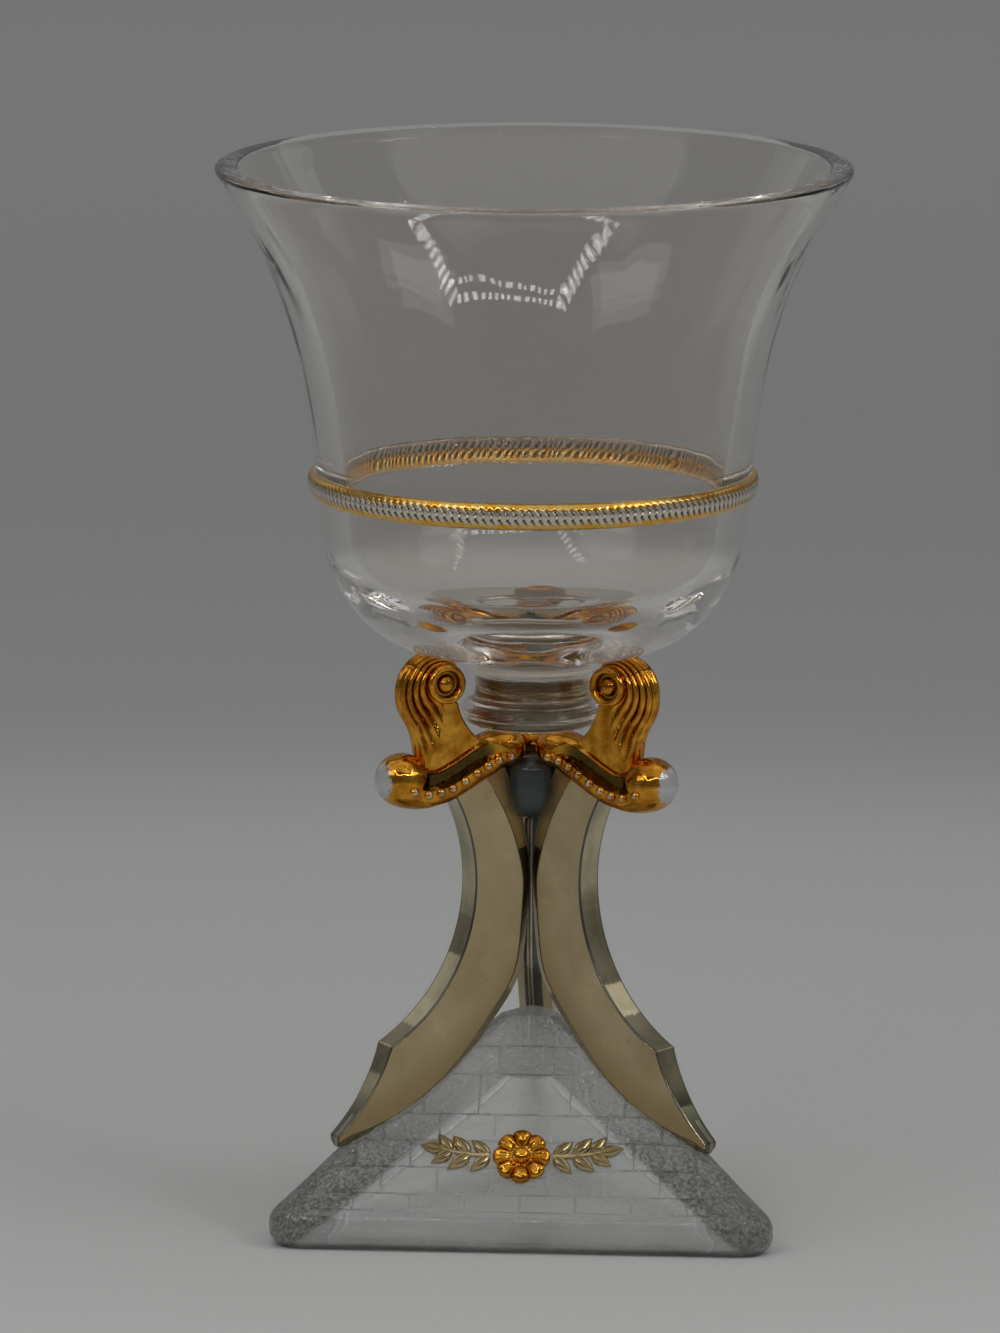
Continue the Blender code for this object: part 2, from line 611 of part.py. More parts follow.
def build():
    for old in list(bpy.data.objects):
        bpy.data.objects.remove(old)
    glass = coat("clear_glass", (0.86, 0.90, 0.89), 0.03, transmission=1.0)
    gilding = coat("gilding", (0.80, 0.46, 0.08), 0.22, metallic=1.0)
    silvering = coat("silvering", (0.66, 0.63, 0.54), 0.28, metallic=1.0)
    coats = {"blade": silvering, "guard": gilding, "grip": gilding}

    goblet = place("goblet", None)
    blade_rooms, guard_rooms = [], []
    for name, direction in SABRE_DIRECTIONS.items():
        stand = place("sabre_" + name, None, parent=goblet)
        stand.rotation_euler.z = direction
        blade_rooms.append(cutter("blade_room_" + name, blade_mesh(SEAT_GAP), stand))
        guard_rooms.append(cutter("guard_room_" + name, guard_mesh(SEAT_GAP), stand))
    for kind, mesh in sabre_meshes().items():
        for name in SABRE_DIRECTIONS:
            place("sabre_%s_%s" % (name, kind), mesh, coats[kind], bpy.data.objects["sabre_" + name])

    foot = place("foot", foot_mesh(), glass, goblet)
    combine(foot, [cutter("foot_hollow", foot_hollow_mesh(), goblet)] + blade_rooms, "DIFFERENCE")
    knop = place("knop", knop_mesh(), glass, goblet)
    combine(knop, blade_rooms + guard_rooms, "DIFFERENCE")
    place("merese", turned("merese", merese_profile(), SMALL_TURN_STEPS), glass, goblet)
    place("bowl", bowl_mesh(), glass, goblet)
    place("bowl_band", band_mesh(), gilding, goblet)

    front = place("front_face", None, parent=goblet)
    front.rotation_euler.x = FOOT_FACE_SLOPE
    outward = Vector((0, -math.sin(FOOT_FACE_SLOPE), math.cos(FOOT_FACE_SLOPE)))
    front.location = Vector((0, -face_side(ORNAMENT_HEIGHT), ORNAMENT_HEIGHT)) + SEAT_GAP * outward
    place("foot_rosette", rosette_mesh(), gilding, front)
    place("foot_spray_left", spray_mesh(-1), silvering, front)
    place("foot_spray_right", spray_mesh(1), silvering, front)


build()
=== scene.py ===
"""Pressed-glass goblet on three sabres: the looks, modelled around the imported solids.

Metres, +Z up.  A sabre is drawn once in its own upright plane, as (reach from the axis, height),
and is copied to its three places round the axis.
"""
import math

import bmesh
import bpy
from bpy.props import FloatProperty, FloatVectorProperty, IntProperty, PointerProperty
from mathutils import Matrix, Vector


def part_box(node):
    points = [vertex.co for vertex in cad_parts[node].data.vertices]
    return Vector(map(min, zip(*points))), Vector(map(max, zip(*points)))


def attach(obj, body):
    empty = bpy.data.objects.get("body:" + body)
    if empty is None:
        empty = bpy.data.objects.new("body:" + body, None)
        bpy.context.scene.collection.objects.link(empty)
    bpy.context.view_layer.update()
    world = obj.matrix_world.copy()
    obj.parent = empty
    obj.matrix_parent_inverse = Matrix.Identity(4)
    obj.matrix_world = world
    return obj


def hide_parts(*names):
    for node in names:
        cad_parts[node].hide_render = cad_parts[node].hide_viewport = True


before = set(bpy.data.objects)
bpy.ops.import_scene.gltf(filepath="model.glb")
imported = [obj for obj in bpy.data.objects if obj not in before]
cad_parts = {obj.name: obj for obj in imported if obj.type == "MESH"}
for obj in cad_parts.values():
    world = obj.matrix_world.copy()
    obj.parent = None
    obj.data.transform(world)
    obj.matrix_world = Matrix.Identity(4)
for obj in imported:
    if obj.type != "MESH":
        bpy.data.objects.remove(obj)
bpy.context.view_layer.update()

bl_info = {
    "name": "Goblet on three sabres",
    "version": (1, 0, 0),
    "blender": (4, 5, 0),
    "location": "3D View > Sidebar > Goblet",
    "description": "Models a pressed-glass goblet piece by piece around its packed solids",
    "category": "Object",
}

MM = 0.001
DEG = math.pi / 180
BODY = "root"
WELD, SEAM_WELD = 0.0001 * MM, 0.001 * MM
HOLLOW_DEPTH = 0.12 * MM
SABRES = {"front_left": 210 * DEG, "front_right": 330 * DEG, "rear": 90 * DEG}
FOOT_FACES = (270 * DEG, 30 * DEG, 150 * DEG)
BOWL_IOR, FOOT_IOR = 1.42, 1.5

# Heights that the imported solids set
MERESE_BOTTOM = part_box("merese")[0].z
BOWL_SEAT, BOWL_TOP = (corner.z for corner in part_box("bowl"))
RIM_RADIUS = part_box("bowl")[1].x
BAND_HEIGHT = (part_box("bowl_band")[0].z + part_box("bowl_band")[1].z) / 2
KNOP_BOTTOM, KNOP_TOP = (corner.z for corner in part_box("knop"))


# Settings

def length(name, millimetres, description):
    return FloatProperty(name=name, description=description, default=millimetres * MM, precision=5,
                         unit="LENGTH")


def angle(name, degrees, description):
    return FloatProperty(name=name, description=description, default=degrees * DEG, unit="ROTATION",
                         subtype="ANGLE")


def count(name, value, description):
    return IntProperty(name=name, description=description, default=value, min=1)


def tint(name, color, description):
    return FloatVectorProperty(name=name, description=description, default=color, subtype="COLOR",
                               size=3, min=0, max=1)


class BowlSizes(bpy.types.PropertyGroup):
    """Bowl and the collar under it; rises are above the bowl's seat."""
    disc_radius: length("Collar radius", 8.6, "Radius of the disc of the collar")
    disc_height: length("Collar disc", 3.0, "Height of the disc of the collar")
    waist_radius: length("Waist radius", 6.6, "Radius of the waist above the collar")
    seat_radius: length("Seat radius", 7.2, "Radius where the bowl grows out of the collar")
    funnel_radius: length("Funnel radius", 13.5, "Radius at the top of the funnel under the bowl")
    funnel_rise: length("Funnel rise", 2.5, "Height of the funnel under the bowl")
    belly_radius: length("Belly radius", 25.1, "Outer radius of the belly")
    belly_rise: length("Belly rise", 16.9, "Height of the belly")
    rim_flare: angle("Rim flare", 28.7, "Lean of the wall at the rim")
    belly_flare: angle("Belly flare", 5.0, "Lean of the wall at the belly")
    shoulder_slope: angle("Shoulder slope", 12.0, "Slope of the underside at the funnel")
    wall: length("Wall", 3.3, "Thickness of the wall")
    lip: length("Lip", 2.9, "Thickness of the lip")
    lip_round: length("Lip round", 0.4, "Rounding of the lip's two edges")
    floor: length("Floor", 6.6, "Glass under the middle of the inside")
    shoulder_handle: length("Shoulder handle", 8.7, "Pull of the shoulder's curve")
    belly_handle: length("Belly handle", 4.0, "Pull of the curve under the belly")
    flare_handle: length("Flare handle", 29.0, "Pull of the wall's curve at the belly")
    rim_handle: length("Rim handle", 12.6, "Pull of the wall's curve at the rim")
    inside_handle: length("Inside handle", 6.7, "Pull of the inside's curve at the belly")
    floor_handle: length("Floor handle", 16.3, "Pull of the inside's curve at the floor")
    seat_handle: length("Seat handle", 1.8, "Pull of the funnel's curve at the seat")
    funnel_handle: length("Funnel handle", 3.0, "Pull of the funnel's curve at its top")
    bead_gap: length("Bead gap", 0.6, "Wall left out under and over the bead")
    knop_radius: length("Knop radius", 3.4, "Radius of the knop between the blades")
    knop_handle: length("Knop handle", 1.0, "Pull of the knop's crown at its side")
    crown: length("Crown", 1.8, "Height of the knop's crown, which the guards hide")
    crown_handle: length("Crown handle", 1.6, "Pull of the knop's crown at its top")
    turns: count("Turn steps", 144, "Steps of the turned glass")


class BandSizes(bpy.types.PropertyGroup):
    """Rope bead round the bowl."""
    height: length("Height", 3.2, "Height of the bead")
    depth: length("Depth", 1.0, "How far the bead stands out")
    notch: length("Notch", 0.3, "Depth of the slanting notches")
    coat: length("Coat", 0.32, "Thickness of the gilded shell")
    notches: count("Notches", 174, "Notches in each of the two rows")


class SabreSizes(bpy.types.PropertyGroup):
    """Blade, guard and grip of one sabre."""
    arc_reach: length("Arc reach", 30.12, "Axis to the centre of the blade's arc")
    arc_height: length("Arc height", 42.15, "Height of the centre of the blade's arc")
    spine_arc: length("Spine arc", 21.9, "Radius of the hollow back of the blade")
    width: length("Blade width", 7.5, "Width of the blade")
    thickness: length("Blade thickness", 4.0, "Thickness of the blade at its back")
    edge_thickness: length("Edge thickness", 1.9, "Thickness of the blade at its edge")
    bevel: length("Edge bevel", 1.3, "Width of the slope along the edge")
    top_bevel: length("Top bevel", 3.4, "Width of the slope along the edge at the guard")
    top_angle: angle("Top angle", 32.0, "End of the blade in the guard, above the level of the arc")
    clip_angle: angle("Clip angle", 60.0, "Corner where the back is clipped, below the level")
    tip_angle: angle("Tip angle", 81.67, "Tip of the blade, below the level")
    flare_angle: angle("Flare angle", 17.0, "Where the blade starts to widen, below the level")
    tip_flare: length("Tip flare", 1.8, "Extra width at the tip")
    bulge: length("Bulge", 1.0, "Extra width of the blade under its narrowest place")
    bulge_angle: angle("Bulge angle", 23.0, "Middle of the extra width, below the level")
    tip_width: length("Tip width", 1.4, "Width of the blunt tip")
    line: length("Line", 0.30, "Width of the dark lines along the back")
    tip_thickness: length("Tip thickness", 2.4, "Thickness of the blunt tip")
    least_half: length("Least half", 0.4, "Least half of the blade's thickness")
    rounding: length("Rounding", 0.16, "Rounding of the blade's edges")
    guard_reach: length("Guard reach", 3.58, "Axis to the inner end of the guard")
    guard_height: length("Guard height", 57.74, "Height of the inner end of the guard")
    ball_reach: length("Ball reach", 17.1, "Axis to the ball of the guard")
    ball_height: length("Ball height", 54.84, "Height of the ball of the guard")
    ball_radius: length("Ball radius", 3.2, "Radius of the ball of the guard")
    guard_bend: length("Guard bend", 5.0, "Pull of the guard's curve")
    guard_sag: length("Guard sag", 3.2, "Sag of the guard beside its ball")
    guard_half_height: length("Guard half height", 2.4, "Half of the guard's height")
    guard_half_width: length("Guard half width", 2.8, "Half of the guard's width")
    groove: length("Guard groove", 1.3, "Depth of the groove along the guard")
    bead_radius: length("Bead radius", 0.58, "Radius of a bead on the guard")
    beads: count("Beads", 9, "Beads on each side of the guard")
    eye_reach: length("Eye reach", 12.4, "Axis to the eye of the grip")
    eye_height: length("Eye height", 66.34, "Height of the eye of the grip")
    eye_radius: length("Eye radius", 2.4, "Radius of the eye of the grip")
    eye_half_width: length("Eye half width", 2.6, "Half of the eye's width")
    button_radius: length("Button radius", 1.1, "Radius of the button in the eye")
    ring_radius: length("Ring radius", 0.42, "Radius of the ring round the eye")
    eye_sink: length("Eye sink", 0.35, "Depth of the groove round the button")
    eye_gap: length("Eye gap", 0.1, "Width of the groove's floor beside the button")
    horn_tip: length("Horn tip", 2.42, "Eye to the outside of the horn at its tip")
    horn_side: length("Horn side", 5.2, "Eye to the outside of the horn at its side")
    horn_reach: length("Horn reach", 14.8, "Axis to the foot of the horn")
    horn_height: length("Horn height", 56.4, "Height of the foot of the horn")
    horn_foot: length("Horn foot", 1.1, "Width of the foot of the horn")
    horn_half_width: length("Horn half width", 2.4, "Half of the horn's width")
    stalk_handle: length("Stalk handle", 2.0, "Pull of the horn's outside where its curl starts")
    flute: length("Flute", 0.6, "Depth of the flutes")
    ribs: count("Ribs", 11, "Ribs round the horn")
    web_half_width: length("Web half width", 1.45, "Half of the web's width")
    web_rounding: length("Web rounding", 0.25, "Rounding of the web's edges")
    heel_rise: length("Heel rise", 1.4, "Heel of the web above the inner end of the guard")
    heel_depth: length("Heel depth", 2.0, "Depth of the web's heel in the guard")
    toe: length("Web toe", 1.5, "How far the web reaches behind and under the foot of the horn")


class FootSizes(bpy.types.PropertyGroup):
    """Hollow three-sided foot with a relief of bricks."""
    apex: length("Apex", 28.8, "Height where the three faces would meet")
    slope: angle("Slope", 52.9, "Slope of a face")
    side: length("Side", 18.9, "Axis to the flat of the upright edge")
    corner_radius: length("Corner radius", 3.9, "Radius of the corners at the edge")
    ridge_radius: length("Ridge radius", 1.2, "Radius of the ridges")
    edge_round: length("Edge round", 1.9, "Rounding under the upright edge")
    brow_round: length("Brow round", 3.2, "Rounding over the upright edge")
    top_side: length("Top side", 2.5, "Axis to the side of the small flat top")
    wall: length("Wall", 5.5, "Wall of the hollow, square to a face")
    hollow_corner: length("Hollow corner", 1.6, "Radius of the hollow's corners")
    hollow_top_side: length("Hollow top side", 2.0, "Axis to the side of the hollow's top")
    hollow_lip: length("Hollow lip", 0.5, "Height of the chamfer round the hollow")
    hollow_chamfer: length("Hollow chamfer", 0.3, "Width of the chamfer round the hollow")
    brow_gap: length("Brow gap", 1.0, "Height of the lowest joint over the upright edge")
    least_brick: length("Least brick", 1.5, "Shortest piece of a brick at a ridge")
    brick: length("Brick length", 6.6, "Length of a brick")
    panel: length("Panel length", 10.7, "Length of the smooth panel")
    clear_foot: length("Clear foot", 27.1, "Half the length of a face's clear middle on the floor")
    clear_apex: length("Clear apex", 21.9, "Height where the sides of the clear middle would meet")
    joint: length("Joint", 0.17, "Half the width of a joint between bricks")
    relief: length("Relief", 0.16, "Height of a brick over the joints")


class OrnamentSizes(bpy.types.PropertyGroup):
    """Rosette and leaf sprays on the front face of the foot."""
    height: length("Height", 10.6, "Height of the rosette's middle")
    rosette_radius: length("Rosette radius", 3.4, "Radius of the rosette")
    rosette_depth: length("Rosette depth", 1.4, "Depth of the rosette")
    petals: count("Petals", 8, "Petals of the rosette")
    spray_length: length("Spray length", 8.6, "Length of a spray")
    spray_rise: length("Spray rise", 1.6, "Rise of a spray at its end")
    leaf_length: length("Leaf length", 3.6, "Length of a leaf")
    leaf_width: length("Leaf width", 1.9, "Width of a leaf")
    leaf_depth: length("Leaf depth", 0.8, "Depth of a leaf")
    stem_radius: length("Stem radius", 0.35, "Radius of the stem")
    stem_gap: length("Stem gap", 0.35, "Rosette to the start of a stem")
    stem_lift: length("Stem lift", 0.3, "Height of a stem's middle over the face")
    leaf_sink: length("Leaf sink", 0.15, "How far a leaf lies under its stem's middle")


class Finishes(bpy.types.PropertyGroup):
    """Colours of glass, gold, silver and paper."""
    glass: tint("Glass", (0.92, 0.895, 0.87), "Clear glass of the bowl, a little warm")
    foot_glass: tint("Foot glass", (0.995, 1.0, 0.985), "Clear glass of the foot")
    stipple: tint("Stipple", (0.62, 0.635, 0.605), "Pale grains of the stippled glass")
    stipple_dark: tint("Stipple dark", (0.20, 0.205, 0.192), "Dark grains of the stippled glass")
    # Painted shade: near black for the knop and along the foot's bottom edge
    glass_gold_reflection: tint("Glass stain", (0.34, 0.20, 0.07), "Glass of the collar's waist")
    # Painted reflection: brown for the grips' gold seen in the collar's waist
    glass_shade: tint("Dim glass", (0.58, 0.53, 0.44), "Glass between the collar and the bowl")
    # Painted shade: dims the clear glass of the collar and under the bowl
    shade_black: tint("Smoke", (0.022, 0.028, 0.026), "Glass that no light comes through")
    gold: tint("Gold", (0.82, 0.40, 0.045), "Fired gold where it is bright")
    gold_deep: tint("Deep gold", (0.42, 0.145, 0.010), "Fired gold in hollows and thick patches")
    # Painted shade: gold darkened in hollows, undercuts and notches
    gold_shade: tint("Hollow gold", (0.09, 0.06, 0.015), "Fired gold that looks dark in grooves")
    bare: tint("Bare", (0.52, 0.53, 0.52), "Glass where the gold is rubbed off")
    gold_pale: tint("Pale gold", (0.84, 0.58, 0.20), "Gold of the rope bead where it is bright")
    rubbed: tint("Rubbed", (0.70, 0.64, 0.55), "Silvery middle of the rope bead")
    silver: tint("Silver", (0.60, 0.49, 0.29), "Champagne silvering")
    # Real stains, and also painted shade towards the blades' tips and inner sides
    silver_stain_and_shade: tint("Silver stain", (0.40, 0.30, 0.155), "Brown stains in the silvering")
    silver_bright: tint("Bright silver", (0.69, 0.60, 0.385), "Silvering on the backs of the blades")
    silver_olive: tint("Olive silver", (0.27, 0.245, 0.155), "Silvering on the slopes of the blades")
    # Painted reflection: dark patches on the blades' bright backs
    silver_dark_reflection: tint("Silver patch", (0.085, 0.10, 0.06), "Dark patches on the backs of the blades")
    tarnish: tint("Tarnish", (0.12, 0.12, 0.105), "Silvering blackened along the edges")
    paper: tint("Paper", (0.68, 0.69, 0.675), "Pale grey paper under the goblet")
    paper_shade: tint("Paper shade", (0.56, 0.565, 0.555), "The paper round the pool of light")
    # Painted light: paper lighter far behind the goblet
    paper_top: tint("Paper top", (0.76, 0.76, 0.75), "The paper far behind the goblet")


PIECES = {"bowl": BowlSizes, "band": BandSizes, "sabre": SabreSizes, "foot": FootSizes,
          "ornament": OrnamentSizes, "finish": Finishes}


class GobletSettings(bpy.types.PropertyGroup):
    """All settings of the goblet."""
    bowl: PointerProperty(type=BowlSizes, name="Bowl")
    band: PointerProperty(type=BandSizes, name="Band")
    sabre: PointerProperty(type=SabreSizes, name="Sabre")
    foot: PointerProperty(type=FootSizes, name="Foot")
    ornament: PointerProperty(type=OrnamentSizes, name="Ornament")
    finish: PointerProperty(type=Finishes, name="Finishes")


# Plane geometry

def mix(a, b, t):
    """A value on the way from one to another."""
    return a + (b - a) * t


def clamp(t):
    """A share, kept between 0 and 1."""
    return min(max(t, 0.0), 1.0)


def ease(t):
    """Smooth step from 0 to 1."""
    t = clamp(t)
    return t * t * (3 - 2 * t)


def bump(x):
    """Round hill of height 1 that fades out about 2 away from its middle."""
    return math.exp(-x * x)


def bezier(p0, p1, p2, p3, steps):
    """Points of a cubic curve, both ends included."""
    points = []
    for k in range(steps + 1):
        t = k / steps
        u = 1 - t
        weights = (u * u * u, 3 * u * u * t, 3 * u * t * t, t * t * t)
        points.append(sum((w * Vector(p) for w, p in zip(weights, (p0, p1, p2, p3))), Vector((0, 0))))
    return points


def arc(center, radius, start, end, steps):
    """Points of a circular arc, both ends included."""
    turns = [mix(start, end, k / steps) for k in range(steps + 1)]
    return [Vector(center) + radius * Vector((math.cos(a), math.sin(a))) for a in turns]


def leaning(lean):
    """Direction that leans out from upright by an angle, as (radius, height)."""
    return Vector((math.sin(lean), math.cos(lean)))


def direction_at(path, k):
    """Direction of a path at one of its points."""
    return (path[min(k + 1, len(path) - 1)] - path[max(k - 1, 0)]).normalized()


def left_of(along):
    """Direction a quarter turn to the left of another."""
    return Vector((-along.y, along.x))


# Modelling by hand

def clear_selection():
    """Leave edit mode and deselect everything, so that an operator acts on its own piece alone."""
    if bpy.context.object and bpy.context.object.mode != "OBJECT":
        bpy.ops.object.mode_set(mode="OBJECT")
    bpy.ops.object.select_all(action="DESELECT")


def activate(*pieces):
    """Select some pieces alone; operators act on the first one."""
    clear_selection()
    for piece in pieces:
        piece.select_set(True)
    bpy.context.view_layer.objects.active = pieces[0]


def open_piece(name):
    """Name the primitive that was just added and open it in edit mode, all selected."""
    piece = bpy.context.object
    piece.name = piece.data.name = name
    bpy.ops.object.mode_set(mode="EDIT")
    bpy.ops.mesh.select_mode(type="VERT")
    bpy.ops.mesh.select_all(action="SELECT")
    return piece


def close_piece(smooth_angle=35 * DEG):
    """Weld the open piece, face it outwards and shade it."""
    bpy.ops.mesh.select_all(action="SELECT")
    bpy.ops.mesh.remove_doubles(threshold=WELD)
    bpy.ops.mesh.normals_make_consistent(inside=False)
    bpy.ops.object.mode_set(mode="OBJECT")
    bpy.ops.object.shade_smooth_by_angle(angle=smooth_angle)


def pick_faces(piece, wanted):
    """Select the faces of the open piece that pass a test."""
    bpy.ops.mesh.select_mode(type="FACE")
    bpy.ops.mesh.select_all(action="DESELECT")
    mesh = bmesh.from_edit_mesh(piece.data)
    for face in mesh.faces:
        face.select_set(wanted(face))
    bmesh.update_edit_mesh(piece.data)


def lathe(name, outline, steps, center=(0, 0, 0), axis=(0, 0, 1)):
    """Draw an outline in the XZ plane point by point and spin it round an axis."""
    clear_selection()
    bpy.ops.mesh.primitive_plane_add(size=MM, location=(0, 0, 0))
    piece = open_piece(name)
    bpy.ops.mesh.merge(type="CENTER")
    bpy.ops.transform.translate(value=outline[0])
    for here, there in zip(outline, outline[1:]):
        bpy.ops.mesh.extrude_vertices_move(TRANSFORM_OT_translate={"value": Vector(there) - Vector(here)})
    bpy.ops.mesh.select_all(action="SELECT")
    bpy.ops.mesh.spin(steps=steps, angle=2 * math.pi, center=center, axis=axis)
    close_piece()
    return piece


def skin(name, rings, capped=True):
    """Lay a grid over rings of points, close it round and cap both ends."""
    clear_selection()
    rows = [list(ring) + [ring[0]] for ring in rings]
    bpy.ops.mesh.primitive_grid_add(x_subdivisions=len(rows[0]) - 1, y_subdivisions=len(rows) - 1, size=MM)
    bpy.context.object.data.vertices.foreach_set("co", [c for row in rows for point in row for c in point])
    piece = open_piece(name)
    bpy.ops.mesh.remove_doubles(threshold=WELD)
    if capped:
        bpy.ops.mesh.fill_holes(sides=0)
    close_piece()
    return piece


def join(pieces):
    """Make one object of several; the first one keeps its name."""
    activate(*pieces)
    bpy.ops.object.join()
    return pieces[0]


def copy_of(piece, name):
    """A copy of a piece with its own mesh."""
    activate(piece)
    bpy.ops.object.duplicate(linked=False)
    made = bpy.context.object
    made.name = made.data.name = name
    return made


def lay(piece, matrix):
    """Put a piece in its place and leave the place in its mesh."""
    activate(piece)
    piece.matrix_world = matrix
    bpy.ops.object.transform_apply(location=True, rotation=True, scale=True)


def round_edges(piece, width, segments, least=30 * DEG):
    """Round the edges of the active piece that turn by more than an angle."""
    bpy.ops.object.modifier_add(type="BEVEL")
    edges = piece.modifiers[-1]
    edges.width = width
    edges.segments = segments
    edges.limit_method = "ANGLE"
    edges.angle_limit = least
    bpy.ops.object.modifier_apply(modifier=edges.name)


def round_the_axis(piece, kind):
    """Copy a sabre's piece to its three places; returns the three."""
    made = []
    for name, direction in SABRES.items():
        node = "sabre_%s_%s" % (name, kind)
        made.append(copy_of(piece, "dressed_" + node))
        lay(made[-1], Matrix.Rotation(direction, 4, "Z"))
        settle(made[-1], node)
    bpy.data.objects.remove(piece)
    return made


def settle(piece, *nodes):
    """Let a finished piece stand for its solids."""
    if not piece.data.polygons:
        raise RuntimeError("%s has no faces" % piece.name)
    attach(piece, BODY)
    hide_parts(*nodes)


def paint(piece, finishes, choose=None):
    """Give a piece its finishes by name; choose tells the number of a face's finish."""
    numbers = [choose(face) if choose else 0 for face in piece.data.polygons]
    piece.data.materials.clear()
    for name in finishes:
        piece.data.materials.append(bpy.data.materials[name])
    piece.data.polygons.foreach_set("material_index", numbers)


def note(piece, name, value_of):
    """Keep a number for each vertex on the mesh, for its material to read."""
    values = piece.data.attributes.new(name, "FLOAT", "POINT")
    values.data.foreach_set("value", [value_of(vertex) for vertex in piece.data.vertices])


def note_hollow_shade(piece):
    """Keep on the mesh how far each vertex lies under its neighbours, as a share of a depth, for painted
    shade in the hollows.
    """
    mesh = piece.data
    sums = [0.0] * len(mesh.vertices)
    for edge in mesh.edges:
        a, b = (mesh.vertices[k] for k in edge.vertices)
        sums[a.index] += a.normal.dot(b.co - a.co)
        sums[b.index] += b.normal.dot(a.co - b.co)
    note(piece, "hollow", lambda vertex: ease(0.25 * sums[vertex.index] / HOLLOW_DEPTH))


def leave_bare(piece):
    """Take the gold off where a placed piece faces the axis; the gilder's brush did not reach there."""
    worn = piece.data.attributes["worn"].data
    for vertex in piece.data.vertices:
        outward = Vector((vertex.co.x, vertex.co.y, 0)).normalized()
        bare = ease((-vertex.normal.dot(outward) - 0.4) / 0.25)
        worn[vertex.index].value = max(worn[vertex.index].value, bare)


# Materials

class Nodes:
    """A node tree and the few nodes that the finishes and the lights are made of."""

    def __init__(self, tree):
        self.tree = tree
        self.shader = tree.nodes.get("Principled BSDF") or tree.nodes["Emission"]

    def add(self, kind, **inputs):
        """A new node with some of its inputs fed."""
        node = self.tree.nodes.new("ShaderNode" + kind)
        for key, value in inputs.items():
            self.feed(node.inputs[key], value)
        return node

    def feed(self, socket, value):
        """Set a socket, or link it where the value comes from another node."""
        if isinstance(value, bpy.types.NodeSocket):
            self.tree.links.new(value, socket)
        elif socket.type == "RGBA":
            socket.default_value = (*value, 1.0)
        else:
            socket.default_value = value

    def set(self, key, value):
        """Feed an input of the shader."""
        self.feed(self.shader.inputs[key], value)

    def place(self):
        """The place on the piece."""
        return self.add("TexCoord").outputs["Object"]

    def stretched(self, scale):
        """The place, scaled along its axes; a scale under 1 draws a pattern out."""
        return self.add("Mapping", Vector=self.place(), Scale=scale).outputs["Vector"]

    def axis_of(self, vector, axis):
        """X, Y or Z of a vector."""
        return self.add("SeparateXYZ", Vector=vector).outputs[axis]

    def noise(self, grain, detail=3.0, roughness=0.5, place=None):
        """Noise with patches of about the given size."""
        node = self.add("TexNoise", Vector=place or self.place(), Scale=1 / grain, Detail=detail,
                        Roughness=roughness)
        return node.outputs["Fac"]

    def cells(self, grain):
        """Rounded cells of about the given size."""
        node = self.add("TexVoronoi", Vector=self.place(), Scale=1 / grain)
        node.feature = "SMOOTH_F1"
        return node.outputs["Distance"]

    def span(self, value, low, high, to_low=0.0, to_high=1.0):
        """Stretch a range of values to another, smoothly at both ends."""
        node = self.add("MapRange", Value=value)
        node.interpolation_type = "SMOOTHSTEP"
        for key, bound in zip(("From Min", "From Max", "To Min", "To Max"), (low, high, to_low, to_high)):
            self.feed(node.inputs[key], bound)
        return node.outputs["Result"]

    def calc(self, operation, a, b=0.0, clamped=True):
        """One sum of two values, kept between 0 and 1 unless clamped is off."""
        node = self.add("Math")
        node.operation = operation
        node.use_clamp = clamped
        self.feed(node.inputs[0], a)
        self.feed(node.inputs[1], b)
        return node.outputs["Value"]

    def blend(self, factor, a, b):
        """Mix two colours."""
        node = self.add("Mix", Factor=factor)
        node.data_type = "RGBA"
        for socket, color in zip((s for s in node.inputs if s.type == "RGBA"), (a, b)):
            self.feed(socket, color)
        return next(s for s in node.outputs if s.type == "RGBA")

    def kept(self, name):
        """A number that is kept on the mesh."""
        node = self.add("Attribute")
        node.attribute_name = name
        return node.outputs["Fac"]

    def relief(self, height, depth, strength=1.0):
        """Rough up the shader's surface by a height between 0 and 1."""
        node = self.add("Bump", Height=height, Distance=depth, Strength=strength)
        self.set("Normal", node.outputs["Normal"])


def new_finish(name):
    """The nodes of a new material with one shader."""
    material = bpy.data.materials.new(name)
    material.use_nodes = True
    return Nodes(material.node_tree)


def glass_material(name, color, haze, ior):
    """Clear glass; haze is its greatest roughness."""
    coat = new_finish(name)
    coat.set("Base Color", color)
    coat.set("Transmission Weight", 1.0)
    coat.set("IOR", ior)
    coat.set("Roughness", coat.span(coat.noise(14 * MM), 0.35, 0.75, 0.3 * haze, haze))
    return coat


def bowl_glass(finish):
    """Smooth glass with the slow waves of a mould."""
    coat = glass_material("bowl_glass", finish.glass, 0.02, BOWL_IOR)
    pulled = coat.stretched((1, 1, 0.06))
    coat.relief(coat.noise(6 * MM, 1.0, place=pulled), 0.2 * MM, 0.5)


def collar_glass(finish):
    """Glass that the gold of the grips shows through: brown round the waist and dim under the bowl."""
    # Glass of the collar, dimmed all over as painted shade, with a painted reflection of the grips' gold as a
    # brown band round the waist.
    coat = glass_material("collar_glass", finish.glass, 0.03, BOWL_IOR)
    height = coat.axis_of(coat.place(), "Z")
    seat = BOWL_SEAT - 0.6 * MM, BOWL_SEAT
    # Painted reflection of the grips' gold round the waist, over painted shade
    waist_start = coat.span(height, BOWL_SEAT - 3.8 * MM, BOWL_SEAT - 2.9 * MM)
    waist_end = coat.span(height, BOWL_SEAT - 1.0 * MM, BOWL_SEAT - 0.4 * MM, 1.0, 0.0)
    brown = coat.calc("MULTIPLY", waist_start, waist_end)
    gold_reflected = coat.blend(brown, finish.glass_shade, finish.glass_gold_reflection)
    coat.set("Base Color", coat.blend(coat.span(height, *seat), gold_reflected, finish.glass_shade))
    coat.set("Roughness", coat.span(height, *seat, 0.05, 0.28))
    rings = coat.noise(1.6 * MM, place=coat.stretched((0.15, 0.15, 2.5)))
    coat.relief(rings, 0.25 * MM, 0.8)


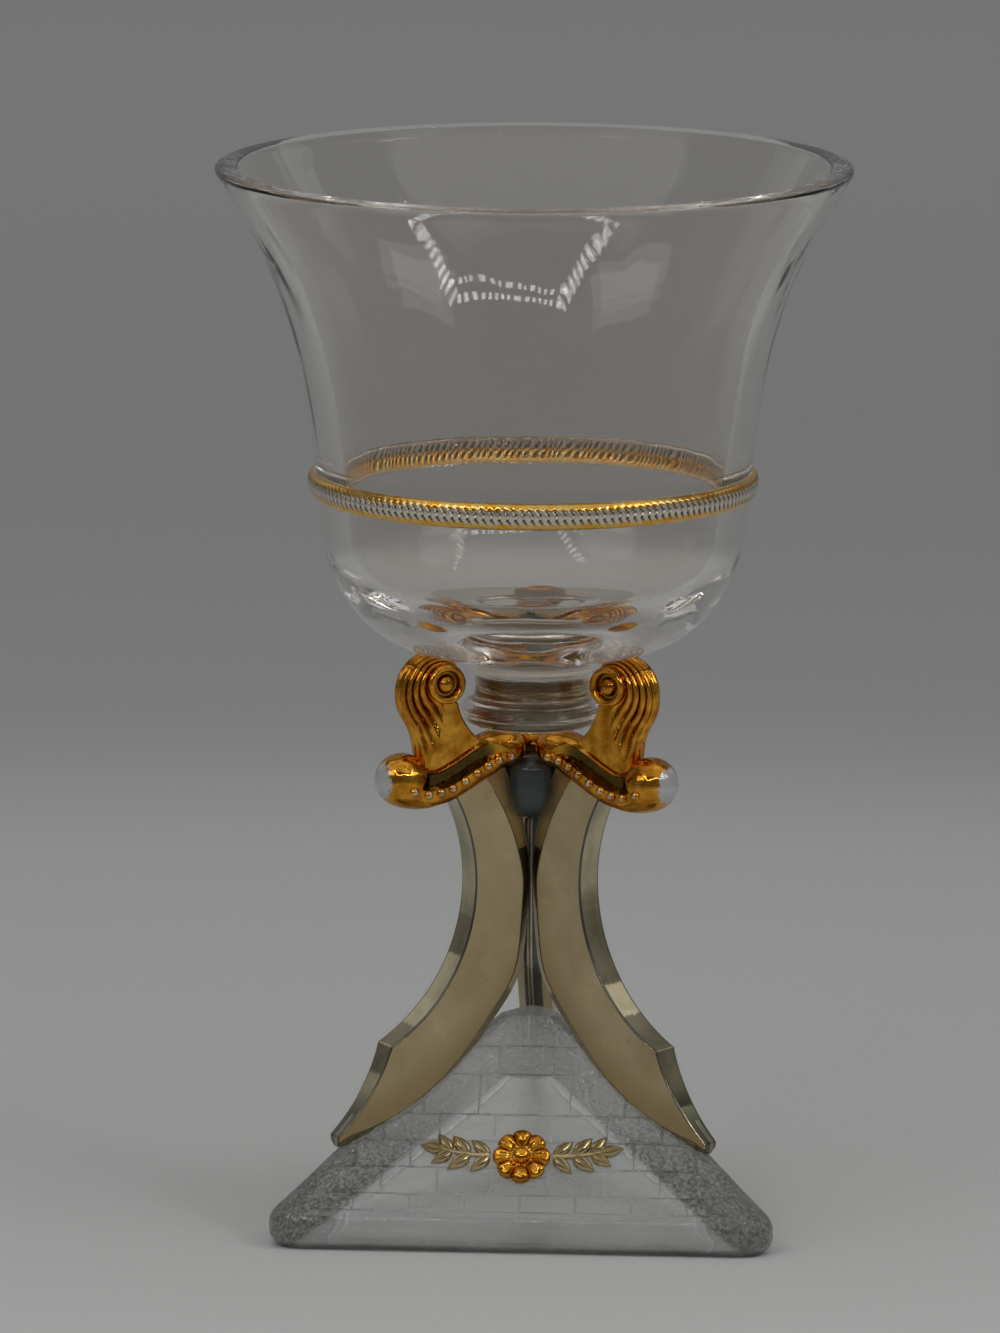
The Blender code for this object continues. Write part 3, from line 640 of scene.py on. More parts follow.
def foot_glass(finish):
    """Glass of the foot: clear over the middle of each face, darker and stippled towards the ridges, with
    painted shade along its bottom edge.
    """
    coat = glass_material("foot_glass", finish.foot_glass, 0.02, FOOT_IOR)
    coat.set("Transmission Weight", 0.80)
    stippled = coat.span(coat.kept("stippled"), -0.6 * MM, 0.6 * MM)
    specks = coat.span(coat.noise(0.42 * MM, 2.0), 0.40, 0.60)
    pale = coat.span(coat.axis_of(coat.place(), "Z"), 8 * MM, 21 * MM)
    grain = coat.blend(specks, finish.stipple_dark, finish.stipple)
    zone = coat.blend(pale, grain, finish.foot_glass)
    tone = coat.blend(stippled, finish.foot_glass, zone)
    # Painted shade: the band just over the floor turns near black
    base = coat.calc("MULTIPLY", coat.kept("base"), 0.8)
    coat.set("Base Color", coat.blend(base, tone, finish.shade_black))
    inside = coat.span(coat.kept("stippled"), -18 * MM, -12 * MM, 0.16, 0.0)
    rough = coat.calc("MAXIMUM", inside, coat.span(stippled, 0.0, 1.0, 0.10, 0.16))
    coat.set("Roughness", rough)
    bumps = coat.calc("MULTIPLY", coat.cells(0.5 * MM), coat.span(stippled, 0.0, 1.0, 0.15, 1.0))
    coat.relief(bumps, 0.14 * MM, 1.0)


def shade_black_glass(finish):
    """Near-black glass with a polished face: painted shade for the knop among the blades."""
    coat = new_finish("shade_black_glass")
    clouds = coat.noise(2.5 * MM)
    pale = tuple(2.5 * c for c in finish.shade_black)
    coat.set("Base Color", coat.blend(clouds, finish.shade_black, pale))
    coat.set("Roughness", coat.span(clouds, 0.3, 0.7, 0.03, 0.09))
    coat.relief(coat.noise(3 * MM, 1.0), 0.08 * MM, 0.4)


def fired_gold(finish):
    """Fired gold, deeper in patches, darkened as painted shade in hollows, that wears through to the glass
    where the mesh says so.
    """
    coat = new_finish("fired_gold")
    patches = coat.span(coat.noise(2.2 * MM, 4.0), 0.32, 0.68)
    gold = coat.blend(patches, finish.gold_deep, finish.gold)
    scratches = coat.noise(0.5 * MM, 5.0, 0.7)
    ragged = coat.calc("ADD", coat.kept("worn"), coat.calc("MULTIPLY", scratches, 0.5))
    worn = coat.span(ragged, 0.78, 0.92)
    # Painted shade in the hollows and undercuts that the mesh keeps
    shaded = coat.blend(coat.kept("hollow"), gold, finish.gold_shade)
    coat.set("Base Color", coat.blend(worn, shaded, finish.bare))
    coat.set("Metallic", coat.span(worn, 0.0, 1.0, 1.0, 0.3))
    smears = coat.noise(3 * MM)
    coat.set("Roughness", coat.span(smears, 0.3, 0.7, 0.04, 0.12))
    coat.relief(coat.noise(1.1 * MM, 2.0), 0.07 * MM, 0.8)


def rope_gold(finish):
    """Gold of the rope bead: rubbed grey over its middle, with painted shade in its notches."""
    coat = new_finish("rope_gold")
    patches = coat.span(coat.noise(1.6 * MM, 4.0), 0.3, 0.7)
    gold = coat.blend(patches, finish.gold, finish.gold_pale)
    grey = coat.span(coat.calc("ADD", coat.kept("rubbed"), coat.calc("MULTIPLY", patches, 0.3)), 0.4, 0.8)
    rubbed = coat.blend(grey, gold, finish.rubbed)
    # Painted shade in the notches
    deep = coat.span(coat.kept("notch"), 0.15, 0.7)
    coat.set("Base Color", coat.blend(deep, rubbed, finish.gold_shade))
    coat.set("Metallic", coat.span(grey, 0.0, 1.0, 1.0, 0.8))
    coat.set("Roughness", coat.span(patches, 0.0, 1.0, 0.12, 0.26))
    coat.relief(coat.noise(0.4 * MM, 2.0), 0.04 * MM, 0.5)


def wipe_metal(coat, smooth, rough):
    """Make a shader metal, wiped to a roughness between two bounds."""
    coat.set("Metallic", 1.0)
    wiped = coat.noise(4 * MM, 4.0)
    coat.set("Roughness", coat.span(wiped, 0.3, 0.7, smooth, rough))


def silvering(name, color, stain, smooth, rough):
    """Silver with stains and, where the mesh keeps a shade, painted shade; smooth and rough bound its
    roughness.
    """
    coat = new_finish(name)
    clouds = coat.span(coat.noise(9 * MM, 4.0, 0.6, place=coat.stretched((1, 1, 0.55))), 0.36, 0.72)
    specks = coat.span(coat.noise(0.9 * MM, 2.0), 0.68, 0.78)
    # The shade that the mesh keeps is painted shade, in the stain colour
    shade = coat.span(coat.kept("shade"), 0.1, 0.85)
    stained_and_shaded = coat.blend(coat.calc("MAXIMUM", coat.calc("MULTIPLY", clouds, 0.6), shade), color, stain)
    coat.set("Base Color", coat.blend(coat.calc("MULTIPLY", specks, 0.5), stained_and_shaded, stain))
    wipe_metal(coat, smooth, rough)
    coat.relief(coat.noise(1.5 * MM, 3.0), 0.03 * MM, 0.4)


def dark_silver(finish):
    """Blackened silver, drawn into fine lines along the blade."""
    coat = new_finish("dark_silver")
    node = coat.add("TexNoise", Scale=1 / (0.35 * MM), Detail=2.0)
    node.noise_dimensions = "1D"
    coat.feed(node.inputs["W"], coat.kept("across"))
    drawn = node.outputs["Fac"]
    lines = coat.span(drawn, 0.5, 0.68)
    coat.set("Base Color", coat.blend(lines, finish.tarnish, finish.silver_bright))
    wipe_metal(coat, 0.18, 0.32)
    coat.relief(drawn, 0.05 * MM, 0.6)


def paper(finish):
    """Paper with a painted pool of light round the goblet, painted darker round the pool and lighter far
    behind it.
    """
    coat = new_finish("paper")
    node = coat.add("VectorMath")
    node.operation = "LENGTH"
    coat.feed(node.inputs[0], coat.place())
    reach = node.outputs["Value"]
    fibres = coat.noise(1.5 * MM, 5.0)
    # Painted light: lighter near the goblet, darker round it, lighter again far off
    edge = coat.span(reach, 0.23, 0.37)
    far = coat.span(reach, 0.45, 1.12)
    tone = coat.blend(edge, finish.paper, coat.blend(far, finish.paper_shade, finish.paper_top))
    flecks = coat.calc("MULTIPLY", fibres, 0.06)
    coat.set("Base Color", coat.blend(flecks, tone, finish.tarnish))
    coat.set("Roughness", coat.span(fibres, 0.2, 0.8, 0.8, 0.95))
    coat.relief(fibres, 0.1 * MM, 0.2)


class GOBLET_OT_finishes(bpy.types.Operator):
    """Mix the glass, gold, silver and paper that the pieces wear"""
    bl_idname = "goblet.finishes"
    bl_label = "Finishes"

    def execute(self, context):
        finish = context.scene.goblet.finish
        bowl_glass(finish)
        foot_glass(finish)
        collar_glass(finish)
        shade_black_glass(finish)
        fired_gold(finish)
        rope_gold(finish)
        silvering("satin_silver", finish.silver, finish.silver_stain_and_shade, 0.26, 0.40)
        # Painted reflection: dark patches and painted shade on the bright backs of the blades
        silvering("bright_silver", finish.silver_bright, finish.silver_dark_reflection, 0.03, 0.08)
        dark_silver(finish)
        silvering("olive_silver", finish.silver_olive, finish.silver_stain_and_shade, 0.16, 0.28)
        silvering("leaf_silver", finish.silver, finish.silver_stain_and_shade, 0.10, 0.22)
        paper(finish)
        return {"FINISHED"}


# Bowl, collar and knop

def wall_curve(bowl, belly, rim, steps=30):
    """The flared wall from the belly to the rim; inside and outside bend alike."""
    return bezier(belly, belly + bowl.flare_handle * leaning(bowl.belly_flare),
                  rim - bowl.rim_handle * leaning(bowl.rim_flare), rim, steps)


def lip_outline(bowl):
    """Level lip with two rounded edges, from the outside to the inside."""
    r = bowl.lip_round
    height = BOWL_TOP - r
    outer = arc((RIM_RADIUS - r, height), r, -bowl.rim_flare, 90 * DEG, 8)
    inner = arc((RIM_RADIUS - bowl.lip + r, height), r, 90 * DEG, 180 * DEG - bowl.rim_flare, 8)
    return outer + inner


def outer_wall(bowl):
    """Outside of the wall, from the belly to the lip."""
    belly = Vector((bowl.belly_radius, BOWL_SEAT + bowl.belly_rise))
    return wall_curve(bowl, belly, lip_outline(bowl)[0])


def wall_radius(bowl, height):
    """Outer radius of the wall at a height."""
    path = outer_wall(bowl)
    for low, high in zip(path, path[1:]):
        if low.y <= height <= high.y:
            return mix(low.x, high.x, (height - low.y) / (high.y - low.y))
    raise RuntimeError("the wall does not reach that height")


def bead_point(bowl, band, turn, depth):
    """Point of the rope bead's section; turn goes from -90 degrees under it to 90 over it."""
    height = BAND_HEIGHT + band.height / 2 * math.sin(turn)
    return Vector((wall_radius(bowl, height) + depth * math.cos(turn), height))


def bowl_outline(bowl, band):
    """Collar, outside, lip and inside of the bowl, from axis to axis."""
    half = bowl.disc_height / 2
    disc = arc((bowl.disc_radius - half, MERESE_BOTTOM + half), half, -90 * DEG, 60 * DEG, 12)
    disc_top = MERESE_BOTTOM + bowl.disc_height
    seat = Vector((bowl.seat_radius, BOWL_SEAT))
    neck = bezier(disc[-1], (bowl.waist_radius, disc_top), (bowl.waist_radius, mix(disc_top, BOWL_SEAT, 0.5)),
                  seat, 10)
    funnel = Vector((bowl.funnel_radius, BOWL_SEAT + bowl.funnel_rise))
    belly = Vector((bowl.belly_radius, BOWL_SEAT + bowl.belly_rise))
    under_slope = leaning(90 * DEG - bowl.shoulder_slope)
    cone = bezier(seat, seat + bowl.seat_handle * leaning(45 * DEG),
                  funnel - bowl.funnel_handle * under_slope, funnel, 10)
    shoulder = bezier(funnel, funnel + bowl.shoulder_handle * under_slope,
                      belly - bowl.belly_handle * leaning(bowl.belly_flare), belly, 18)
    bead_depth = band.depth - band.coat
    bead = [bead_point(bowl, band, mix(-90, 90, k / 10) * DEG, bead_depth) for k in range(11)]
    wall = outer_wall(bowl)
    under = [p for p in wall if p.y < bead[0].y - bowl.bead_gap]
    over = [p for p in wall if p.y > bead[-1].y + bowl.bead_gap]
    lip = lip_outline(bowl)
    inner_belly = belly - Vector((bowl.wall, 0))
    floor = Vector((0, BOWL_SEAT + bowl.floor))
    bottom = bezier(inner_belly, inner_belly - bowl.inside_handle * leaning(bowl.belly_flare),
                    floor + Vector((bowl.floor_handle, 0)), floor, 20)
    inside = wall_curve(bowl, inner_belly, lip[-1])[::-1]
    path = [Vector((0, MERESE_BOTTOM))] + disc + neck[1:] + cone[1:] + shoulder[1:] + under[1:]
    path += bead + over[:-1] + lip + inside[1:] + bottom[1:]
    return [(p.x, 0, p.y) for p in path]


def knop_outline(bowl):
    """Drop that hangs between the tops of the blades, and its crown."""
    radius, top = bowl.knop_radius, KNOP_TOP + bowl.crown
    drop = arc((0, KNOP_BOTTOM + radius), radius, -90 * DEG, 0, 16)
    crown = bezier((radius, KNOP_TOP), (radius, KNOP_TOP + bowl.knop_handle),
                   (bowl.crown_handle, top), (0, top), 10)
    return [(p.x, 0, p.y) for p in drop + crown]


class GOBLET_OT_bowl(bpy.types.Operator):
    """Turn the bowl with its collar, and the knop between the blades"""
    bl_idname = "goblet.bowl"
    bl_label = "Bowl and knop"

    def execute(self, context):
        goblet = context.scene.goblet
        bowl = lathe("dressed_bowl", bowl_outline(goblet.bowl, goblet.band), goblet.bowl.turns)
        collar_bottom = MERESE_BOTTOM + 0.2 * MM
        collar_top = BOWL_SEAT + goblet.bowl.funnel_rise
        paint(bowl, ["bowl_glass", "collar_glass"],
              lambda face: int(collar_bottom < face.center.z < collar_top))
        settle(bowl, "bowl", "merese")
        knop = lathe("dressed_knop", knop_outline(goblet.bowl), 48)
        paint(knop, ["shade_black_glass"])
        settle(knop, "knop")
        return {"FINISHED"}


# Rope bead

def notch_depth(phase, across):
    """Depth of the notches, from 0 to 1; two rows of strokes that lean against each other."""
    row = 1 if across > 0 else -1
    reach = abs(across)
    window = ease(reach / 0.16) * max(0.0, 1 - (reach / 0.85) ** 2)
    stroke = math.cos(2 * math.pi * (phase + row * (1.1 * reach + 0.25)))
    return window * max(0.0, stroke) ** 0.7


def band_section(bowl, band, phase, rows=15):
    """Closed section of the gilded shell where its notch has a phase: up its front and down its back."""
    section = []
    for side in (1, -1):
        for row in range(rows):
            bow = mix(-86, 86, row / (rows - 1)) * DEG * side
            depth = band.depth - band.notch * notch_depth(phase, math.sin(bow))
            section.append(bead_point(bowl, band, bow, depth if side > 0 else depth - band.coat))
    return section


def notch_skin(bowl, band, columns=6):
    """The length of the shell that one notch takes up."""
    rings = []
    for phase in (c / columns for c in range(columns + 1)):
        way = phase * 2 * math.pi / band.notches
        rings.append([(p.x * math.cos(way), p.x * math.sin(way), p.y)
                      for p in band_section(bowl, band, phase)])
    return skin("dressed_bowl_band", rings, capped=False)


class GOBLET_OT_band(bpy.types.Operator):
    """Model one notch of the rope bead and repeat it round the bowl"""
    bl_idname = "goblet.band"
    bl_label = "Rope band"

    def execute(self, context):
        goblet = context.scene.goblet
        band = goblet.band
        pitch = 2 * math.pi / band.notches
        piece = notch_skin(goblet.bowl, band)
        bpy.ops.object.mode_set(mode="EDIT")
        bpy.ops.mesh.select_all(action="SELECT")
        bpy.ops.mesh.spin(steps=band.notches - 1, dupli=True, angle=2 * math.pi - pitch,
                          center=(0, 0, 0), axis=(0, 0, 1))
        bpy.ops.mesh.select_all(action="SELECT")
        bpy.ops.mesh.remove_doubles(threshold=SEAM_WELD)
        close_piece(60 * DEG)

        def across(vertex):
            return (vertex.co.z - BAND_HEIGHT) / (band.height / 2)

        def notch(vertex):
            way = math.atan2(vertex.co.y, vertex.co.x) / pitch
            return notch_depth(way - math.floor(way), across(vertex))

        def rubbed(vertex):
            """The gold is rubbed off the middle outside, and off the upper half inside."""
            outside = vertex.normal.x * vertex.co.x + vertex.normal.y * vertex.co.y > 0
            place = across(vertex)
            return bump((place / 0.5) ** 2) if outside else ease(place / 0.3) * ease((0.85 - place) / 0.1)

        note(piece, "notch", notch)
        note(piece, "rubbed", rubbed)
        paint(piece, ["rope_gold"])
        settle(piece, "bowl_band")
        return {"FINISHED"}


# Sabres

def arc_place(sabre, co):
    """Radius and turn of a point about the centre of the blade's arc; turn is negative below its level."""
    x, z = sabre.arc_reach - co.x, co.z - sabre.arc_height
    return math.hypot(x, z), math.atan2(z, x)


def arc_point(sabre, radius, turn):
    """Reach and height of a point that is given by its radius and turn about that centre."""
    return (sabre.arc_reach - radius * math.cos(turn), sabre.arc_height + radius * math.sin(turn))


def clipped(sabre, turn):
    """0 up to the corner where the back is clipped, 1 at the tip."""
    return clamp((-turn - sabre.clip_angle) / (sabre.tip_angle - sabre.clip_angle))


def blade_section(sabre):
    """Corners of the blade's section as (radius, side): its flats, its edge and its lined back."""
    spine, edge = sabre.spine_arc, sabre.spine_arc + sabre.width
    half, half_edge = sabre.thickness / 2, sabre.edge_thickness / 2
    return ((spine, -half), (edge - sabre.bevel, -half), (edge, -half_edge),
            (edge, half_edge), (edge - sabre.bevel, half), (spine, half),
            (spine, half - sabre.line), (spine, sabre.line - half))


def shape_blade(sabre, piece):
    """Widen the swept blade towards its tip and clip its back."""
    edge = sabre.spine_arc + sabre.width
    tip = edge + sabre.tip_flare
    for vertex in piece.data.vertices:
        radius, turn = arc_place(sabre, vertex.co)
        clip = clipped(sabre, turn)
        flare = ease((-turn - sabre.flare_angle) / (sabre.tip_angle - sabre.flare_angle))
        spine = mix(sabre.spine_arc, tip - sabre.tip_width, clip)
        far = mix(edge, tip, flare) + sabre.bulge * bump((turn + sabre.bulge_angle) / (10 * DEG))
        bevel = mix(sabre.bevel, sabre.top_bevel, max(turn, 0.0) / sabre.top_angle)
        place = (radius - sabre.spine_arc) / sabre.width
        if place < 0.1:
            radius = spine
        elif place > 0.95:
            radius = far
        else:
            radius = far - min(bevel, 0.5 * (far - spine))
        thinned = (sabre.thickness - mix(sabre.thickness, sabre.tip_thickness, clip)) / 2
        side = math.copysign(max(abs(vertex.co.y) - thinned, sabre.least_half), vertex.co.y)
        x, z = arc_point(sabre, radius, turn)
        vertex.co = (x, side, z)


SATIN, BRIGHT, DARK, OLIVE = range(4)

# How far sideways the flats, the bevels and the back of a blade face, and where its bevels turn olive
FLAT_TILT, BEVEL_TILTS, BACK_TILT = 0.985, (0.72, 0.96), 0.05
OLIVE_TURN = 8 * DEG


def blade_finish(sabre, face):
    """Satin flats, a bright back, olive bevels, and dark edges and lines."""
    tilt = abs(face.normal.y)
    radius, turn = arc_place(sabre, face.center)
    if tilt > FLAT_TILT:
        return SATIN
    if tilt < BACK_TILT and radius < sabre.spine_arc + sabre.width - sabre.bevel:
        half = mix(sabre.thickness, sabre.tip_thickness, clipped(sabre, turn)) / 2
        return BRIGHT if abs(face.center.y) < half - sabre.line else DARK
    if BEVEL_TILTS[0] < tilt < BEVEL_TILTS[1]:
        return SATIN if turn > OLIVE_TURN else OLIVE
    return DARK


def blade_shade(sabre, vertex):
    """Painted shade: 0 on the outer side of the blade and at its top, 1 at its tip on the inner side."""
    radius, turn = arc_place(sabre, vertex.co)
    inward = (radius - sabre.spine_arc) / sabre.width
    down = (sabre.top_angle - turn) / (sabre.top_angle + sabre.tip_angle)
    return clamp(inward) * clamp(down) ** 0.7


class GOBLET_OT_blades(bpy.types.Operator):
    """Sweep the blade of a sabre along its arc, clip its back and copy it round the axis"""
    bl_idname = "goblet.blades"
    bl_label = "Blades"

    def execute(self, context):
        sabre = context.scene.goblet.sabre
        corners = blade_section(sabre)
        clear_selection()
        bpy.ops.mesh.primitive_circle_add(vertices=len(corners), radius=MM, fill_type="NGON")
        for vertex, (radius, side) in zip(bpy.context.object.data.vertices, corners):
            x, z = arc_point(sabre, radius, sabre.top_angle)
            vertex.co = (x, side, z)
        piece = open_piece("blade")
        sweep = {"center": (sabre.arc_reach, 0, sabre.arc_height), "axis": (0, 1, 0)}
        bpy.ops.mesh.spin(steps=56, angle=sabre.top_angle + sabre.clip_angle, **sweep)
        bpy.ops.mesh.spin(steps=12, angle=sabre.tip_angle - sabre.clip_angle, **sweep)
        close_piece()
        shape_blade(sabre, piece)
        round_edges(piece, sabre.rounding, 3, least=20 * DEG)
        bpy.ops.object.shade_smooth_by_angle(angle=40 * DEG)
        note(piece, "shade", lambda vertex: blade_shade(sabre, vertex))
        note(piece, "across", lambda vertex: vertex.co.y)
        paint(piece, ["satin_silver", "bright_silver", "dark_silver", "olive_silver"],
              lambda face: blade_finish(sabre, face))
        for made in round_the_axis(piece, "blade"):
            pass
        return {"FINISHED"}


def guard_path(sabre, steps):
    """Middle line of the guard, from its inner end to its ball."""
    inner = Vector((sabre.guard_reach, sabre.guard_height))
    ball = Vector((sabre.ball_reach, sabre.ball_height))
    return bezier(inner, inner + Vector((sabre.guard_bend, 0)),
                  ball - Vector((sabre.guard_bend, sabre.guard_sag)), ball, steps)


def guard_swell(t):
    """How far the guard has swollen into its ball, at a share of its length."""
    return ease((t - 0.72) / 0.28)


def guard_section(sabre, center, along, half_height, half_width, groove, points=72):
    """Section of the guard: an oval, undercut on each side between its upper rib and its lower border."""
    squareness = mix(1.0, 0.45, groove / sabre.groove)
    up = left_of(along)
    ring = []
    for k in range(points):
        turn = 2 * math.pi * k / points
        side = 1 if math.cos(turn) >= 0 else -1
        lift = math.asin(math.sin(turn)) / DEG
        undercut = ease((46 - lift) / 8) * ease((lift + 5) / 5)
        p = center + half_height * math.sin(turn) * up
        across = half_width * abs(math.cos(turn)) ** (1 if lift > 0 else squareness)
        across = mix(across, min(across, half_width - groove), undercut)
        ring.append((p.x, side * across, p.y))
    return ring


def guard_skin(sabre, steps=44):
    """Grooved bar from a rounded inner end to a ball."""
    path = guard_path(sabre, steps)
    start, stop = direction_at(path, 0), direction_at(path, steps)
    height, width, ball = sabre.guard_half_height, sabre.guard_half_width, sabre.ball_radius
    rings = []
    for bow in (88, 76, 62, 48, 34, 18):
        shrink, back = math.cos(bow * DEG), math.sin(bow * DEG)
        center = path[0] - back * height * start
        rings.append(guard_section(sabre, center, start, shrink * height, shrink * width, 0))
    for k, center in enumerate(path):
        t = k / steps
        swell = guard_swell(t)
        groove = sabre.groove * ease((0.93 - t) / 0.14) * ease((t - 0.04) / 0.2)
        rings.append(guard_section(sabre, center, direction_at(path, k), mix(height, ball, swell),
                                   mix(width, ball, swell), groove))
    for bow in (12, 24, 36, 48, 60, 72, 82, 88):
        shrink, ahead = math.cos(bow * DEG), math.sin(bow * DEG)
        center = path[-1] + ahead * ball * stop
        rings.append(guard_section(sabre, center, stop, shrink * ball, shrink * ball, 0))
    return skin("guard", rings)


def guard_beads(sabre, steps=100):
    """Beads along the lower half of both sides of the guard."""
    clear_selection()
    bpy.ops.mesh.primitive_uv_sphere_add(segments=16, ring_count=10, radius=sabre.bead_radius)
    model = open_piece("bead")
    bpy.ops.transform.resize(value=(1, 0.75, 1))
    close_piece()
    note(model, "worn", lambda vertex: 0.62 * ease((abs(vertex.co.y) / sabre.bead_radius - 0.42) / 0.2))
    path = guard_path(sabre, steps)
    beads = []
    for k in range(sabre.beads):
        s = round(mix(4, 96, k / (sabre.beads - 1)))
        swell = guard_swell(s / steps)
        drop = 0.25 * mix(sabre.guard_half_height, sabre.ball_radius, swell)
        p = path[s] - drop * left_of(direction_at(path, s))
        across = mix(sabre.guard_half_width, sabre.ball_radius, swell)
        for side in (-1, 1):
            beads.append(copy_of(model, "bead"))
            lay(beads[-1], Matrix.Translation((p.x, side * across, p.y)))
    bpy.data.objects.remove(model)
    return beads


def guard_worn(sabre, vertex):
    """Over 0 on the outside of the ball, where the gold is worn off."""
    outside = (vertex.co.x - sabre.ball_reach - 0.2 * sabre.ball_radius) / (0.75 * sabre.ball_radius)
    return 0.75 * ease(outside)


def guard_hollow_shade(sabre, path, vertex):
    """Painted shade: 1 in the undercut sides of the guard, which are darkened as shade, and 0 elsewhere."""
    here = Vector((vertex.co.x, vertex.co.z))
    near = min(range(1, len(path) - 1), key=lambda k: (path[k] - here).length)
    lift = (here - path[near]).dot(left_of(direction_at(path, near))) / sabre.guard_half_height
    upright = ease((lift + 0.04) / 0.06) * ease((0.68 - lift) / 0.08)
    lengthwise = ease((56 - near) / 6) * ease((near - 5) / 8)
    return upright * lengthwise


class GOBLET_OT_guards(bpy.types.Operator):
    """Loft the grooved guard of a sabre, set its beads and copy it round the axis"""
    bl_idname = "goblet.guards"
    bl_label = "Guards"

    def execute(self, context):
        sabre = context.scene.goblet.sabre
        bar = guard_skin(sabre)
        path = guard_path(sabre, 60)
        note(bar, "worn", lambda vertex: guard_worn(sabre, vertex))
        note(bar, "hollow", lambda vertex: guard_hollow_shade(sabre, path, vertex))
        piece = join([bar] + guard_beads(sabre))
        paint(piece, ["fired_gold"])
        for made in round_the_axis(piece, "guard"):
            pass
        return {"FINISHED"}


# Turns round the eye where the horn ends and where its curl starts
HORN_END = 175 * DEG
HORN_LEAVE = -50 * DEG


def horn_section(sabre, inner, outer, full):
    """Section of the horn between its inner and outer edge: a round nose, with ribs all the way round.

    Where the horn is narrower than its full width, the inner ribs run out.
    """
    width = (outer - inner).length
    run = min(1.0, width / full)
    half = sabre.horn_half_width * mix(0.65, 1.0, ease(width / (1.6 * sabre.horn_half_width)))
    flute = sabre.flute * min(1.0, width / (2 * sabre.horn_half_width))
    nose = min(0.6 * width, half)
    flat = width - nose
    bend = math.pi / 2 * math.sqrt((nose * nose + half * half) / 2)
    marks = 44
    front = []
    for k in range(marks + 1):
        way = k / marks
        gone = way * (flat + bend)
        turn = clamp((gone - flat) / bend) * math.pi / 2
        rib = 1 - (1 - way) * run
        depth = flute * (1 - abs(math.sin(math.pi * sabre.ribs * rib / 2)) ** 0.8)
        along = min(gone, flat) + (nose - depth) * math.sin(turn)
        across = (half - depth) * math.cos(turn) if k < marks else 0.0
        p = inner.lerp(outer, along / width)
        front.append((p.x, across, p.y))
    return [(x, -across, z) for x, across, z in front] + front[-2::-1]


def horn_skin(sabre):
    """Horn that grows out of the guard and curls round the eye."""
    eye = Vector((sabre.eye_reach, sabre.eye_height))
    growth = math.log(sabre.horn_side / sabre.horn_tip) / HORN_END
    core = 0.65 * sabre.eye_radius
    inner_edge, outer_edge = [], []
    steps = 40
    for k in range(steps + 1):
        turn = mix(HORN_LEAVE, HORN_END, k / steps)
        ray = Vector((math.cos(turn), math.sin(turn)))
        inner_edge.append(eye + core * ray)
        outer_edge.append(eye + sabre.horn_tip * math.exp(growth * (HORN_END - turn)) * ray)
    foot = Vector((sabre.horn_reach, sabre.horn_height))
    half_foot = Vector((sabre.horn_foot / 2, 0))
    leave = outer_edge[0] - sabre.stalk_handle * direction_at(outer_edge, 0)
    outer_stalk = bezier(foot + half_foot, mix(foot + half_foot, leave, 0.5), leave, outer_edge[0], 18)[:-1]
    inner_stalk = bezier(foot - half_foot, foot - Vector((1.2 * MM, -3.0 * MM)),
                         eye - Vector((0.9 * MM, 4.0 * MM)), inner_edge[0], 18)[:-1]
    full = (outer_edge[0] - inner_edge[0]).length
    rings = [horn_section(sabre, a, b, full) for a, b in zip(inner_stalk, outer_stalk)]
    rings += [horn_section(sabre, a, b, (b - a).length) for a, b in zip(inner_edge, outer_edge)]
    return skin("grip", rings)


def eye_turned(sabre):
    """Eye of the grip: a ring, a groove and a button on both sides."""
    face = sabre.eye_half_width
    ring = arc((sabre.eye_radius - sabre.ring_radius, face), sabre.ring_radius, 0, 180 * DEG, 10)
    low = face - sabre.eye_sink
    dome = arc((0, low), sabre.button_radius, 8 * DEG, 90 * DEG, 8)
    half = ring + [Vector((ring[-1].x, low)), Vector((sabre.button_radius + sabre.eye_gap, low))]
    half += [Vector((p.x, low + 0.85 * (p.y - low))) for p in dome]
    outline = [(p.x, p.y) for p in reversed(half)] + [(p.x, -p.y) for p in half]
    spun = [(sabre.eye_reach + r, y, sabre.eye_height) for r, y in outline]
    return lathe("eye", spun, 40, center=(sabre.eye_reach, 0, sabre.eye_height), axis=(0, 1, 0))


def web_plate(sabre):
    """Flat plate between the guard, the horn and the eye."""
    eye = Vector((sabre.eye_reach, sabre.eye_height))
    foot = Vector((sabre.horn_reach, sabre.horn_height))
    heel = Vector((0.60 * eye.x, sabre.guard_height + sabre.heel_rise))
    throat = eye + sabre.eye_radius * Vector((-0.88, -1.1))
    outline = [heel - Vector((0, sabre.heel_depth)), foot - Vector((sabre.toe, sabre.toe)), foot,
               eye + sabre.eye_radius * Vector((0.6, -1.0)), eye + sabre.eye_radius * Vector((0.2, 0.0))]
    outline += bezier(throat, throat - Vector((0.3 * MM, 1.8 * MM)),
                      heel + Vector((1.4 * MM, 1.1 * MM)), heel, 10)
    half = sabre.web_half_width
    piece = skin("web", [[(p.x, across, p.y) for p in outline] for across in (-half, half)])
    round_edges(piece, sabre.web_rounding, 2)
    return piece


class GOBLET_OT_grips(bpy.types.Operator):
    """Loft the fluted grip of a sabre, add its eye and web and copy it round the axis"""
    bl_idname = "goblet.grips"
    bl_label = "Grips"

    def execute(self, context):
        sabre = context.scene.goblet.sabre
        piece = join([horn_skin(sabre), eye_turned(sabre), web_plate(sabre)])
        bpy.ops.object.shade_smooth_by_angle(angle=50 * DEG)
        note(piece, "worn", lambda vertex: 0.0)
        note_hollow_shade(piece)
        paint(piece, ["fired_gold"])
        for made in round_the_axis(piece, "grip"):
            if "rear" in made.name:
                leave_bare(made)
        return {"FINISHED"}


# Foot

def face_side(foot, height):
    """Axis to a face of the foot at a height."""
    return (foot.apex - height) / math.tan(foot.slope)


def face_height(foot, side):
    """Height of a face of the foot at a distance from the axis."""
    return foot.apex - side * math.tan(foot.slope)


